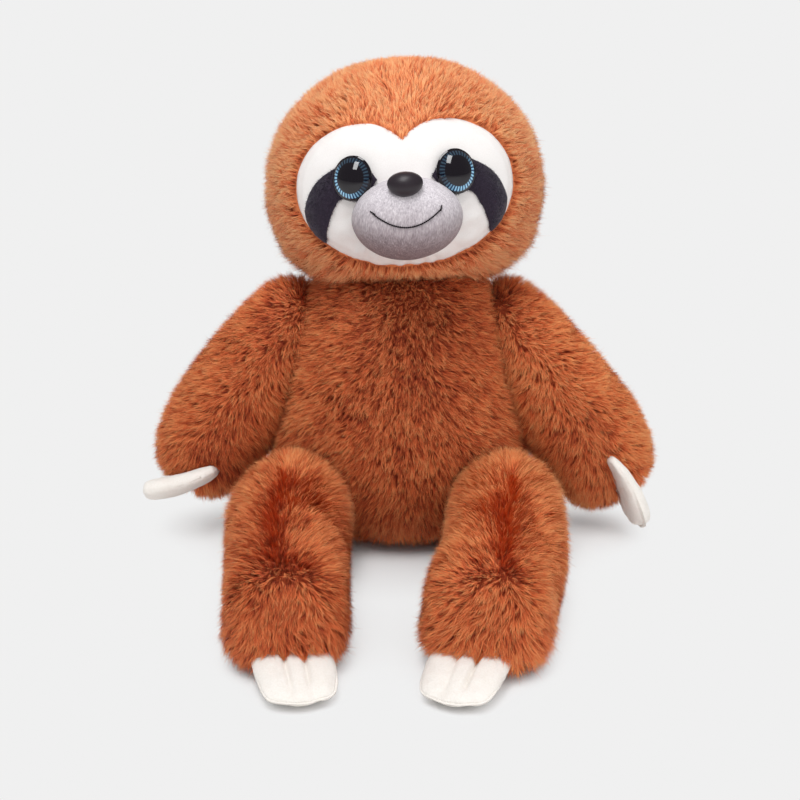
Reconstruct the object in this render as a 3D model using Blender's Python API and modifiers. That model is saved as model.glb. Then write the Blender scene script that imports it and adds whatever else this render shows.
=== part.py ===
"""A seated plush sloth, built from its separate sewn and fitted pieces.

Units are metres and +Z is up. The toy sits on the plane z = 0 with its face towards -Y, and its
own left side is +X. Every stuffed form is drawn at the outer reach of its fur.
"""
import math

import bmesh
import bpy
from mathutils import Matrix, Vector
from mathutils.bvhtree import BVHTree

# Fits that every piece shares
GAP = 0.0003
FLOOR_CUT = 0.0005
FLOOR_REACH = 0.26
OVERRUN = 0.02
WELD = 0.00001

# Torso: a pear that sits flat and narrows to the neck
TORSO_HALF_WIDTH = 0.079
TORSO_FRONT = 0.070
TORSO_BACK = 0.068
TORSO_TOP = 0.176
NECK_HEIGHT = 0.156

# Head, measured along its own tilted axes
HEAD_HALF_WIDTH = 0.0804
HEAD_HALF_DEPTH = 0.0740
HEAD_HALF_HEIGHT = 0.0670
HEAD_CENTRE_X = 0.002
HEAD_CENTRE_Y = 0.004
HEAD_LIFT = 0.058
HEAD_CENTRE_Z = NECK_HEIGHT + HEAD_LIFT
HEAD_TILT_DEG = 14
HEAD_ROLL_DEG = 4

# Face: the short-pile panel lies below the fur's outer reach
FACE_SINK = 0.0050
PANEL_THICKNESS = 0.0020
PATCH_THICKNESS = 0.0012
FACE_HALF_WIDTH = 0.0605
FACE_TOP = 0.0256
FACE_DROP = 0.0533
FACE_BACK = 0.012
FACE_EDGE_GAP = 2 * GAP

# Muzzle and the smile sewn on it
MUZZLE_HALF_WIDTH = 0.0298
MUZZLE_HALF_HEIGHT = 0.0222
MUZZLE_HALF_DEPTH = 0.0250
MUZZLE_DROP = 0.0269
MUZZLE_REACH = 0.0915
MOUTH_HALF_WIDTH = 0.0177
MOUTH_CORNER_DROP = 0.0235
MOUTH_SAG = 0.0083
THREAD_RADIUS = 0.0006
THREAD_ROUNDS = 1

# Eyes
EYE_RADIUS = 0.0114
EYE_HEIGHT = 0.0070
EYE_RIM = 0.0012
EYE_SPREAD = 0.0272
EYE_DROP = 0.0038

# Nose
NOSE_HALF_WIDTH = 0.0094
NOSE_HALF_HEIGHT = 0.0068
NOSE_HALF_DEPTH = 0.0062
NOSE_DROP = 0.0075
NOSE_LIFT_DEG = 34
NOSE_SEAT_DEPTH = 0.0030

# Posts of the eyes and the nose, and the washers that lock them
POST_RADIUS = 0.0020
POST_RIB = 0.0004
POST_LENGTH = 0.0110
POST_RIBS = 2
RIB_START_SHARE = 0.30
RIB_RISE_SHARE = 0.15
RIB_FALL_SHARE = 0.45
WASHER_RADIUS = 0.0065
WASHER_THICKNESS = 0.0014
WASHER_DEPTH = 0.0050
WASHER_DISH_SHARE = 0.30

# Arms
SHOULDER_X = 0.066
SHOULDER_Y = 0.000
SHOULDER_Z = 0.124
ARM_RADIUS = 0.0325
ARM_ROOT_REACH = 0.0270
ARM_LENGTHS = {"left": 0.0988, "right": 0.0891}
ARM_AIM_SHARES = {"left": (0.53, -0.05, -0.85), "right": (-0.53, 0.00, -0.85)}
FLANK_HALF_WIDTH = 0.0460
FLANK_SLOPE_SHARE = 0.36
FLANK_WAIST_REACH = 0.056
FLANK_REACH = 0.214
HIP_CLEARANCE = 0.0008

# Legs
HIP_X = 0.060
HIP_Y = -0.058
HIP_RADIUS = 0.0345
HIP_Z = HIP_RADIUS - FLOOR_CUT
LEG_RADIUS = 0.0340
LEG_ROOT_REACH = 0.0270
LEG_LENGTHS = {"left": 0.1175, "right": 0.1150}
LEG_AIM_SHARES = {"left": (-0.105, -1.00, -0.015), "right": (0.015, -1.00, -0.015)}
HIP_RAISE_DEG = 25
HIP_DROP_DEG = 60

# Claws: a flat padded mitt of three fingers, sewn into the limb's end
HAND_CLAW_LENGTH = 0.047
HAND_CLAW_BEND_DEG = 26
FOOT_CLAW_LENGTH = 0.055
FOOT_CLAW_BEND_DEG = 10
CLAW_FINGER_WIDTH = 0.0205
CLAW_FINGER_PITCH = 0.0120
CLAW_THICKNESS = 0.0125
CLAW_TAPER_DEG = 4
FINGER_DROP_SHARE = 0.05

# Where each mitt's root lies from the middle of the limb's end, as shares of the limb's radius,
# then where it points and which way its upper side faces
HAND_CLAW_ROOT_SHARES = {"left": (0.10, -0.63, 0.32), "right": (0.17, -0.77, -0.19)}
HAND_CLAW_AIM_SHARES = {"left": (0.64, -0.15, -0.75), "right": (-0.87, -0.12, -0.48)}
HAND_CLAW_UP_SHARES = {"left": (0.84, 0.18, 0.49), "right": (0.42, -0.31, -0.85)}
FOOT_CLAW_ROOT_SHARES = {"left": (-0.20, -0.24, -0.62), "right": (0.02, -0.24, -0.62)}
FOOT_CLAW_AIM_SHARES = {"left": (-0.32, -1.00, -0.02), "right": (0.20, -1.00, -0.02)}
FOOT_CLAW_UP_SHARES = {"left": (0.00, 0.02, 1.00), "right": (0.00, 0.02, 1.00)}

# How fine the rounded pieces are
SOFT_SIDES = 8
LIMB_SIDES = 6
FINGER_SIDES = 6
SOFT_LEVELS = 2
FINGER_LEVELS = 1
FLANK_STEPS = 48
HIP_STEPS = 20
EYE_STEPS = 20
DOME_STEPS = 5
WASHER_STEPS = 16
NOSE_STEPS = 16
OUTLINE_STEPS = 4
MOUTH_POINTS = 13

# Each ring of a soft form: height, half width and half depth as shares of the form's own
TORSO_RING_SHARES = (
    (0.00, 0.34, 0.34),
    (0.00, 0.62, 0.62),
    (0.12, 0.98, 0.96),
    (0.34, 1.00, 1.00),
    (0.66, 0.81, 0.86),
    (0.94, 0.60, 0.58),
)
HEAD_RING_SHARES = (
    (0.03, 0.56, 0.50),
    (0.20, 0.95, 0.90),
    (0.46, 1.00, 1.00),
    (0.74, 0.88, 0.90),
    (0.96, 0.46, 0.48),
)
MUZZLE_RING_SHARES = (
    (0.06, 0.60, 0.60),
    (0.46, 1.00, 1.00),
    (0.90, 0.72, 0.72),
)
ARM_RING_SHARES = (
    (0.03, 0.54, 0.58),
    (0.24, 0.84, 0.88),
    (0.68, 1.00, 1.00),
    (0.97, 0.72, 0.72),
)
LEG_RING_SHARES = (
    (0.02, 0.84, 0.84),
    (0.22, 1.00, 1.00),
    (0.84, 1.00, 1.00),
    (0.985, 0.84, 0.84),
)
FINGER_RING_SHARES = (
    (0.03, 0.68, 0.64),
    (0.43, 1.00, 1.00),
    (0.94, 0.86, 0.58),
)

# Half of the face's outline, from the peak of fur between the brows down to the chin:
# across as shares of FACE_HALF_WIDTH, up as shares of FACE_TOP, down as shares of FACE_DROP
FACE_PEAK_SHARE = 0.60
FACE_UPPER_SHARES = ((0.13, 0.84), (0.33, 1.00), (0.66, 0.86), (0.90, 0.40))
FACE_LOWER_SHARES = ((1.00, 0.11), (0.96, 0.41), (0.77, 0.70), (0.42, 0.93), (0.00, 1.00))

# The dark patch behind each eye, as shares of FACE_HALF_WIDTH across and of FACE_DROP up
PATCH_SHARES = (
    (0.240, -0.100), (0.350, 0.050), (0.490, 0.085), (0.620, 0.030), (0.790, -0.100),
    (0.890, -0.300), (0.905, -0.450), (0.850, -0.600), (0.765, -0.700), (0.735, -0.590),
    (0.655, -0.375), (0.570, -0.265), (0.400, -0.290),
)

# Colours as linear RGB, with a roughness each
LOOKS = {
    "fur": ((0.42, 0.115, 0.035), 0.95),
    "face_plush": ((0.93, 0.89, 0.86), 0.90),
    "muzzle_plush": ((0.50, 0.46, 0.48), 0.92),
    "dark_plush": ((0.022, 0.018, 0.030), 0.92),
    "claw_plush": ((0.90, 0.85, 0.78), 0.90),
    "black_plastic": ((0.012, 0.011, 0.013), 0.08),
    "nose_plastic": ((0.045, 0.038, 0.044), 0.38),
    "washer_plastic": ((0.80, 0.80, 0.78), 0.45),
    "thread": ((0.015, 0.012, 0.014), 0.80),
}

SIDES = (("left", 1), ("right", -1))


def clear_scene():
    for old in list(bpy.data.objects):
        bpy.data.objects.remove(old, do_unlink=True)


def make_collection(name):
    collection = bpy.data.collections.new(name)
    bpy.context.scene.collection.children.link(collection)
    return collection


def make_material(name):
    colour, roughness = LOOKS[name]
    material = bpy.data.materials.new(name)
    material.use_nodes = True
    shader = material.node_tree.nodes["Principled BSDF"]
    shader.inputs["Base Color"].default_value = (*colour, 1)
    shader.inputs["Roughness"].default_value = roughness
    shader.inputs["Metallic"].default_value = 0
    material.diffuse_color = (*colour, 1)
    return material


def add_piece(name, mesh, look):
    """A visible piece of the toy, with a material of its own."""
    piece = bpy.data.objects.new(name, mesh)
    mesh.materials.clear()
    mesh.materials.append(make_material(look))
    parts.objects.link(piece)
    return piece


def add_cutter(name, mesh):
    cutter = bpy.data.objects.new(name, mesh)
    cutter.hide_render = True
    cutter.display_type = "WIRE"
    cutters.objects.link(cutter)
    return cutter


def combine(target, tool, operation):
    modifier = target.modifiers.new(tool.name, "BOOLEAN")
    modifier.operation = operation
    modifier.solver = "EXACT"
    modifier.object = tool


def cut(target, *tools):
    for tool in tools:
        combine(target, tool, "DIFFERENCE")


def evaluated_mesh(thing):
    bpy.context.view_layer.update()
    graph = bpy.context.evaluated_depsgraph_get()
    return bpy.data.meshes.new_from_object(thing.evaluated_get(graph), depsgraph=graph)


def mesh_from(bm, name):
    mesh = bpy.data.meshes.new(name)
    bm.to_mesh(mesh)
    bm.free()
    return mesh


def cage_mesh(name, ring_shares, sides):
    """A unit cage: a sphere whose rings take their heights and radii from the table."""
    bm = bmesh.new()
    rows = len(ring_shares) + 1
    bmesh.ops.create_uvsphere(bm, u_segments=sides, v_segments=rows, radius=1)
    for vert in bm.verts:
        level = rows - round(math.acos(max(-1, min(1, vert.co.z))) / math.pi * rows)
        if level in (0, rows):
            vert.co = Vector((0, 0, level / rows))
            continue
        height, width, depth = ring_shares[level - 1]
        around = vert.co.xy.normalized()
        vert.co = Vector((around.x * width, around.y * depth, height))
    mesh = mesh_from(bm, name)
    mesh.shade_smooth()
    return mesh


def fit_to_box(form, low, high):
    """Scales the cage so that the smoothed form fills the box from low to high."""
    smooth = evaluated_mesh(form)
    places = [vert.co.copy() for vert in smooth.vertices]
    bpy.data.meshes.remove(smooth)
    for axis in range(3):
        old_low = min(place[axis] for place in places)
        old_high = max(place[axis] for place in places)
        scale = (high[axis] - low[axis]) / (old_high - old_low)
        for vert in form.data.vertices:
            vert.co[axis] = low[axis] + (vert.co[axis] - old_low) * scale


def soft_form(add, name, ring_shares, low, high, sides, levels, look=None):
    """A stuffed form that fills the box: a coarse cage with Subdivision Surface."""
    mesh = cage_mesh(name, ring_shares, sides)
    form = add(name, mesh, look) if look else add(name, mesh)
    smooth = form.modifiers.new("stuffing", "SUBSURF")
    smooth.levels = levels
    smooth.render_levels = levels
    fit_to_box(form, low, high)
    return form


def turned_mesh(name, profile):
    """The open profile of a turned shape, as points (distance from the axis, place along it)."""
    bm = bmesh.new()
    verts = [bm.verts.new((radius, 0, along)) for radius, along in profile]
    for one, other in zip(verts, verts[1:]):
        bm.edges.new((one, other))
    return mesh_from(bm, name)


def turn(thing, steps):
    """Turns the profile about the object's Z axis into a closed shape."""
    screw = thing.modifiers.new("turned", "SCREW")
    screw.axis = "Z"
    screw.angle = math.tau
    screw.steps = steps
    screw.render_steps = steps
    screw.use_merge_vertices = True
    screw.merge_threshold = WELD
    return thing


def arc(centre_radius, centre_along, radius, start_deg, end_deg, count):
    """Points of an arc in a profile, counted from the axis direction."""
    points = []
    for step in range(count + 1):
        angle = math.radians(start_deg + (end_deg - start_deg) * step / count)
        points.append((centre_radius + radius * math.sin(angle),
                       centre_along + radius * math.cos(angle)))
    return points


def frame_of(origin, along, up):
    """A frame with its Z axis along one direction and its Y axis as near up as it can be."""
    z_axis = along.normalized()
    x_axis = up.cross(z_axis).normalized()
    y_axis = z_axis.cross(x_axis)
    turned = Matrix((x_axis, y_axis, z_axis)).transposed().to_4x4()
    return Matrix.Translation(origin) @ turned


def place(thing, matrix):
    thing.matrix_world = matrix
    return thing


def fasten(piece, carrier):
    """Parents a piece to the one that carries it, and leaves it where it is."""
    piece.parent = carrier
    piece.matrix_parent_inverse = carrier.matrix_world.inverted()


def box_mesh(name, low, high):
    bm = bmesh.new()
    bmesh.ops.create_cube(bm, size=1)
    middle = (Vector(low) + Vector(high)) / 2
    size = Vector(high) - Vector(low)
    for vert in bm.verts:
        vert.co = Vector(a * b for a, b in zip(vert.co, size)) + middle
    return mesh_from(bm, name)


def ball_mesh(name, radius, steps):
    """A ball whose poles lie on the X axis, so that it turns true about that axis."""
    bm = bmesh.new()
    bmesh.ops.create_uvsphere(bm, u_segments=steps, v_segments=steps // 2, radius=radius)
    bmesh.ops.rotate(bm, verts=bm.verts, matrix=Matrix.Rotation(math.pi / 2, 3, "Y"))
    return mesh_from(bm, name)


def surface_tree(form):
    """The form's smoothed surface in world space, for seating other pieces on it."""
    mesh = evaluated_mesh(form)
    places = [form.matrix_world @ vert.co for vert in mesh.vertices]
    faces = [tuple(face.vertices) for face in mesh.polygons]
    bpy.data.meshes.remove(mesh)
    return BVHTree.FromPolygons(places, faces)


def head_frame():
    turned = Matrix.Rotation(math.radians(-HEAD_TILT_DEG), 4, "X")
    rolled = Matrix.Rotation(math.radians(-HEAD_ROLL_DEG), 4, "Y")
    centre = Vector((HEAD_CENTRE_X, HEAD_CENTRE_Y, HEAD_CENTRE_Z))
    return Matrix.Translation(centre) @ turned @ rolled


def seat_on(tree, across, up, lift_deg=0):
    """The point and outward normal where a line towards the head's own back meets a surface."""
    aim = Vector((0, -math.cos(math.radians(lift_deg)), math.sin(math.radians(lift_deg))))
    head = head_frame()
    start = head @ (Vector((across, -MUZZLE_REACH, up)) + aim * OVERRUN)
    direction = head.to_3x3() @ -aim
    point, normal, _, _ = tree.ray_cast(start, direction)
    return point, normal


def outline_prism(name, points, sharp, front, back):
    """A closed smooth outline in the head's own X and Z, as a prism between two depths."""
    curve = bpy.data.curves.new(name, "CURVE")
    curve.dimensions = "2D"
    curve.fill_mode = "BOTH"
    curve.resolution_u = OUTLINE_STEPS
    curve.extrude = (front - back) / 2
    spline = curve.splines.new("BEZIER")
    spline.bezier_points.add(len(points) - 1)
    spline.use_cyclic_u = True
    for index, (node, (across, up)) in enumerate(zip(spline.bezier_points, points)):
        node.co = (across, up, 0)
        kind = "VECTOR" if index in sharp else "AUTO"
        node.handle_left_type = kind
        node.handle_right_type = kind
    thing = bpy.data.objects.new(name, curve)
    cutters.objects.link(thing)
    mesh = evaluated_mesh(thing)
    bpy.data.objects.remove(thing, do_unlink=True)
    bm = bmesh.new()
    bm.from_mesh(mesh)
    bpy.data.meshes.remove(mesh)
    bmesh.ops.remove_doubles(bm, verts=bm.verts, dist=WELD)
    bmesh.ops.recalc_face_normals(bm, faces=bm.faces)
    upright = Matrix.Rotation(math.pi / 2, 4, "X")
    shift = Matrix.Translation((0, -(front + back) / 2, 0))
    bmesh.ops.transform(bm, matrix=shift @ upright, verts=bm.verts)
    return place(add_cutter(name, mesh_from(bm, name)), head_frame())


def toward_middle(points, inset):
    """Draws an outline in by about the inset, point by point towards its middle."""
    middle = sum((Vector(point) for point in points), Vector((0, 0))) / len(points)
    drawn = []
    for point in points:
        offset = Vector(point) - middle
        drawn.append(middle + offset * (1 - inset / offset.length))
    return [tuple(point) for point in drawn]


def face_outline():
    half = [(0, FACE_PEAK_SHARE * FACE_TOP)]
    half += [(x * FACE_HALF_WIDTH, y * FACE_TOP) for x, y in FACE_UPPER_SHARES]
    half += [(x * FACE_HALF_WIDTH, -y * FACE_DROP) for x, y in FACE_LOWER_SHARES]
    return half + [(-x, y) for x, y in reversed(half[1:-1])]


def patch_outline(sign):
    return [(sign * x * FACE_HALF_WIDTH, y * FACE_DROP) for x, y in PATCH_SHARES]


def head_form(add, name, inset, look=None):
    """The head's own form, drawn in from the fur's outer reach by the inset."""
    half = Vector((HEAD_HALF_WIDTH, HEAD_HALF_DEPTH, HEAD_HALF_HEIGHT)) - Vector((inset,) * 3)
    form = soft_form(add, name, HEAD_RING_SHARES, -half, half, SOFT_SIDES, SOFT_LEVELS, look)
    return place(form, head_frame())


def torso_form(add, name, grow, look=None):
    """The torso before its seats are cut, or the room that it fills."""
    low = Vector((-TORSO_HALF_WIDTH, -TORSO_FRONT, -FLOOR_CUT)) - Vector((grow,) * 3)
    high = Vector((TORSO_HALF_WIDTH, TORSO_BACK, TORSO_TOP)) + Vector((grow,) * 3)
    return soft_form(add, name, TORSO_RING_SHARES, low, high, SOFT_SIDES, SOFT_LEVELS, look)


def flank_cutter(name, sign, inner):
    """A turned shape about the shoulder's own axis, along which an arm swings past the flank.

    Past the waist it flares along a line that just clears the leg's round root, so that a
    swinging arm passes outside it, and the arm's seat bulges nowhere inward. The inner one holds
    all that lies inside the arm's seat, the other all that lies outside it.
    """
    seat = FLANK_HALF_WIDTH + (GAP if inner else 0)
    waist = seat + FLANK_SLOPE_SHARE * FLANK_WAIST_REACH
    past_waist = math.hypot(HIP_Y - SHOULDER_Y, HIP_Z - SHOULDER_Z) - FLANK_WAIST_REACH
    hip_clear = HIP_RADIUS + HIP_CLEARANCE
    flare = math.atan2(HIP_X - waist, past_waist)
    flare += math.asin(hip_clear / math.hypot(HIP_X - waist, past_waist))
    rim = waist + math.tan(flare) * (FLANK_REACH - FLANK_WAIST_REACH)
    far = 0 if inner else rim + OVERRUN
    profile = [(0, seat), (FLANK_WAIST_REACH, waist), (FLANK_REACH, rim), (FLANK_REACH, far),
               (0, far)]
    if not inner:
        profile.reverse()
    cutter = turn(add_cutter(name, turned_mesh(name, profile)), FLANK_STEPS)
    outward = Vector((sign, 0, 0))
    return place(cutter, frame_of(Vector((0, SHOULDER_Y, SHOULDER_Z)), outward, Vector((0, 0, 1))))


def limb(name, root, end, radius, root_reach, rings):
    """A stuffed limb from its joint at root to the middle of its rounded end."""
    along = end - root
    low = Vector((-radius, -radius, -root_reach))
    high = Vector((radius, radius, along.length + radius))
    form = soft_form(add_piece, name, rings, low, high, LIMB_SIDES, SOFT_LEVELS, "fur")
    return place(form, frame_of(root, along, Vector((0, 0, 1))))


def claw_frame(end, radius, root_shares, aim_shares, up_shares):
    """The frame of a mitt whose root lies within the limb's rounded end."""
    return frame_of(end + Vector(root_shares) * radius, Vector(aim_shares), Vector(up_shares))


def bend_fingers(mesh, length, degrees):
    """Bows a finger down along an arc as it goes out from its root."""
    bend = math.radians(degrees) / length
    for vert in mesh.vertices:
        angle = vert.co.z * bend
        height = vert.co.y + 1 / bend
        vert.co.y = height * math.cos(angle) - 1 / bend
        vert.co.z = height * math.sin(angle)


def claw_mitt(name, add, matrix, length, bend, grow, look=None):
    """Three padded fingers side by side, sewn as one piece, or the room that they need."""
    fingers = []
    for order in (0, -1, 1):
        half_width = CLAW_FINGER_WIDTH / 2 + grow
        half_thick = CLAW_THICKNESS / 2 + grow
        reach = length * (1 - FINGER_DROP_SHARE * abs(order)) + grow
        low = Vector((-half_width, -half_thick, -grow))
        high = Vector((half_width, half_thick, reach))
        maker = add_cutter if order else add
        title = f"{name}_finger_{order + 1}" if order else name
        form = soft_form(maker, title, FINGER_RING_SHARES, low, high, FINGER_SIDES,
                         FINGER_LEVELS, None if order else look)
        bend_fingers(form.data, length, bend)
        taper = Matrix.Rotation(math.radians(-order * CLAW_TAPER_DEG), 4, "Y")
        place(form, matrix @ Matrix.Translation((order * CLAW_FINGER_PITCH, 0, 0)) @ taper)
        fingers.append(form)
    for other in fingers[1:]:
        combine(fingers[0], other, "UNION")
    return fingers[0]


def post_profile(top, grow):
    """A ribbed post down the axis from a piece's back, or its bore."""
    radius = POST_RADIUS + grow
    end = top - POST_LENGTH - grow
    if grow:
        return [(radius + POST_RIB, top), (radius + POST_RIB, end), (0, end)]
    pitch = POST_LENGTH / POST_RIBS
    points = [(radius, top)]
    for rib in range(POST_RIBS):
        start = top - pitch * (rib + RIB_START_SHARE)
        points += [(radius, start), (radius + POST_RIB, start - pitch * RIB_RISE_SHARE)]
        points.append((radius, start - pitch * RIB_FALL_SHARE))
    return points + [(radius, end), (0, end)]


def eye_profile(grow):
    """A domed eye, flat at the back, on its post: z = 0 is the back of the dome."""
    ball = (EYE_RADIUS ** 2 + (EYE_HEIGHT - EYE_RIM) ** 2) / (2 * (EYE_HEIGHT - EYE_RIM))
    edge = math.degrees(math.asin(EYE_RADIUS / ball))
    dome = arc(0, EYE_HEIGHT - ball, ball + grow, 0, edge, DOME_STEPS)
    rim = EYE_RADIUS + grow
    dome[0] = (0, EYE_HEIGHT + grow)
    dome[-1] = (rim, dome[-1][1])
    return dome + [(rim, -grow)]


def washer_profile():
    """A lock washer: a dished disc with a hole that the post passes through."""
    hole = POST_RADIUS + POST_RIB + GAP
    dish = WASHER_THICKNESS * WASHER_DISH_SHARE
    return [(hole, 0), (WASHER_RADIUS, -dish), (WASHER_RADIUS, -WASHER_THICKNESS),
            (hole, dish - WASHER_THICKNESS), (hole, 0)]


def socket_cutter(name, matrix, open_top):
    """The bore of a post with the room of its washer, down the axis from the piece's back."""
    bore = POST_RADIUS + POST_RIB + GAP
    room = WASHER_RADIUS + GAP
    roof = -WASHER_DEPTH + GAP
    floor = -WASHER_DEPTH - WASHER_THICKNESS - GAP
    end = -POST_LENGTH - GAP
    profile = [(0, open_top), (bore, open_top), (bore, roof), (room, roof), (room, floor),
               (bore, floor), (bore, end), (0, end)]
    cutter = turn(add_cutter(name, turned_mesh(name, profile)), WASHER_STEPS)
    return place(cutter, matrix)


def bore_cutter(name, matrix):
    bore = POST_RADIUS + POST_RIB + GAP
    profile = [(0, EYE_HEIGHT), (bore, EYE_HEIGHT), (bore, -POST_LENGTH), (0, -POST_LENGTH)]
    cutter = turn(add_cutter(name, turned_mesh(name, profile)), WASHER_STEPS)
    return place(cutter, matrix)


def build_torso():
    torso = torso_form(add_piece, "torso", 0, "fur")
    seat_low = (-FLOOR_REACH, -FLOOR_REACH, -OVERRUN)
    seat_high = (FLOOR_REACH, FLOOR_REACH, 0)
    floor = add_cutter("floor_cutter", box_mesh("floor_cutter", seat_low, seat_high))
    neck_low = (-TORSO_HALF_WIDTH, -TORSO_FRONT, NECK_HEIGHT)
    neck_high = (TORSO_HALF_WIDTH, TORSO_BACK, TORSO_TOP + OVERRUN)
    neck = add_cutter("neck_cutter", box_mesh("neck_cutter", neck_low, neck_high))
    cut(torso, floor, neck)
    for side, sign in SIDES:
        cut(torso, flank_cutter(f"flank_trim_{side}", sign, inner=False))
        socket_radius = HIP_RADIUS / math.cos(math.pi / HIP_STEPS) + GAP
        socket = add_cutter(f"hip_socket_{side}",
                            ball_mesh(f"hip_socket_{side}", socket_radius, HIP_STEPS))
        cut(torso, place(socket, Matrix.Translation((sign * HIP_X, HIP_Y, HIP_Z))))
    return torso, floor


def build_arm(side, sign, torso):
    root = Vector((sign * SHOULDER_X, SHOULDER_Y, SHOULDER_Z))
    hand = root + Vector(ARM_AIM_SHARES[side]).normalized() * ARM_LENGTHS[side]
    arm = limb(f"arm_{side}", root, hand, ARM_RADIUS, ARM_ROOT_REACH, ARM_RING_SHARES)
    cut(arm, flank_cutter(f"flank_seat_{side}", sign, inner=True))
    matrix = claw_frame(hand, ARM_RADIUS, HAND_CLAW_ROOT_SHARES[side], HAND_CLAW_AIM_SHARES[side],
                        HAND_CLAW_UP_SHARES[side])
    size = (HAND_CLAW_LENGTH, HAND_CLAW_BEND_DEG)
    cut(arm, claw_mitt(f"hand_claw_room_{side}", add_cutter, matrix, *size, GAP))
    claws = claw_mitt(f"hand_claws_{side}", add_piece, matrix, *size, 0, "claw_plush")
    fasten(claws, arm)
    fasten(arm, torso)


def build_leg(side, sign, torso, floor):
    root = Vector((sign * HIP_X, HIP_Y, HIP_Z))
    foot = root + Vector(LEG_AIM_SHARES[side]).normalized() * LEG_LENGTHS[side]
    leg = limb(f"leg_{side}", root, foot, LEG_RADIUS, LEG_ROOT_REACH, LEG_RING_SHARES)
    for way, degrees in (("raised", -HIP_RAISE_DEG), ("dropped", HIP_DROP_DEG)):
        body = torso_form(add_cutter, f"torso_past_{way}_leg_{side}", GAP)
        swing = Matrix.Rotation(math.radians(-degrees), 4, "X")
        cut(leg, place(body, Matrix.Translation(root) @ swing @ Matrix.Translation(-root)))
    ball = add_cutter(f"hip_ball_{side}", ball_mesh(f"hip_ball_{side}", HIP_RADIUS, HIP_STEPS))
    combine(leg, place(ball, Matrix.Translation(root)), "UNION")
    cut(leg, floor)
    matrix = claw_frame(foot, LEG_RADIUS, FOOT_CLAW_ROOT_SHARES[side], FOOT_CLAW_AIM_SHARES[side],
                        FOOT_CLAW_UP_SHARES[side])
    size = (FOOT_CLAW_LENGTH, FOOT_CLAW_BEND_DEG)
    cut(leg, claw_mitt(f"foot_claw_room_{side}", add_cutter, matrix, *size, GAP))
    claws = claw_mitt(f"foot_claws_{side}", add_piece, matrix, *size, 0, "claw_plush")
    cut(claws, floor)
    fasten(claws, leg)
    fasten(leg, torso)


def build_head(torso):
    head = head_form(add_piece, "head", 0, "fur")
    fasten(head, torso)
    neck_low = (-HEAD_HALF_WIDTH, -HEAD_HALF_DEPTH, 0)
    neck_high = (HEAD_HALF_WIDTH + HEAD_CENTRE_X, HEAD_HALF_DEPTH, NECK_HEIGHT + GAP)
    neck = add_cutter("neck_seat", box_mesh("neck_seat", neck_low, neck_high))
    panel_back = FACE_SINK + PANEL_THICKNESS + GAP
    recess = outline_prism("face_recess", face_outline(), (0,), HEAD_HALF_DEPTH + OVERRUN,
                           FACE_BACK)
    cut(recess, head_form(add_cutter, "face_floor", panel_back))
    cut(head, neck, recess)
    return head


def build_face_panel():
    points = toward_middle(face_outline(), FACE_EDGE_GAP)
    panel = head_form(add_piece, "face_panel", FACE_SINK, "face_plush")
    prism = outline_prism("face_outline", points, (0,), HEAD_HALF_DEPTH + OVERRUN,
                          FACE_BACK + GAP)
    combine(panel, prism, "INTERSECT")
    cut(panel, head_form(add_cutter, "face_panel_back", FACE_SINK + PANEL_THICKNESS))
    return panel, prism


def patch_solid(name, add, side_sign, grow, face_prism, look=None):
    """A patch sewn flat on the face panel and into its edge, or the room that it needs."""
    points = toward_middle(patch_outline(side_sign), -grow)
    inset = FACE_SINK - GAP - PATCH_THICKNESS - grow
    patch = head_form(add, name, inset, look)
    prism = outline_prism(f"{name}_outline", points, (), HEAD_HALF_DEPTH + OVERRUN, FACE_BACK)
    combine(patch, prism, "INTERSECT")
    combine(patch, face_prism, "INTERSECT")
    cut(patch, head_form(add_cutter, f"{name}_back", FACE_SINK - GAP + grow))
    return patch


def build_muzzle():
    low = Vector((-MUZZLE_HALF_WIDTH, -MUZZLE_HALF_HEIGHT, -MUZZLE_HALF_DEPTH))
    muzzle = soft_form(add_piece, "muzzle", MUZZLE_RING_SHARES, low, -low, SOFT_SIDES,
                       SOFT_LEVELS, "muzzle_plush")
    centre = Vector((0, MUZZLE_HALF_DEPTH - MUZZLE_REACH, -MUZZLE_DROP))
    forward = frame_of(centre, Vector((0, -1, 0)), Vector((0, 0, 1)))
    place(muzzle, head_frame() @ forward)
    tree = surface_tree(muzzle)
    cut(muzzle, head_form(add_cutter, "muzzle_back", FACE_SINK - GAP))
    return muzzle, tree


def build_mouth(tree, muzzle):
    """The smile: one thread that lies on the muzzle, from corner to corner."""
    places = []
    for step in range(MOUTH_POINTS):
        share = 2 * step / (MOUTH_POINTS - 1) - 1
        across = share * MOUTH_HALF_WIDTH
        up = -MOUTH_CORNER_DROP - MOUTH_SAG * (1 - share ** 2)
        point, normal = seat_on(tree, across, up)
        places.append(point + normal * (THREAD_RADIUS + GAP))
    curve = bpy.data.curves.new("mouth_stitch", "CURVE")
    curve.dimensions = "3D"
    curve.bevel_depth = THREAD_RADIUS
    curve.bevel_resolution = THREAD_ROUNDS
    curve.use_fill_caps = True
    spline = curve.splines.new("POLY")
    spline.points.add(len(places) - 1)
    for node, where in zip(spline.points, places):
        node.co = (*where, 1)
    curve.materials.append(make_material("thread"))
    mouth = bpy.data.objects.new("mouth_stitch", curve)
    parts.objects.link(mouth)
    fasten(mouth, muzzle)


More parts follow.
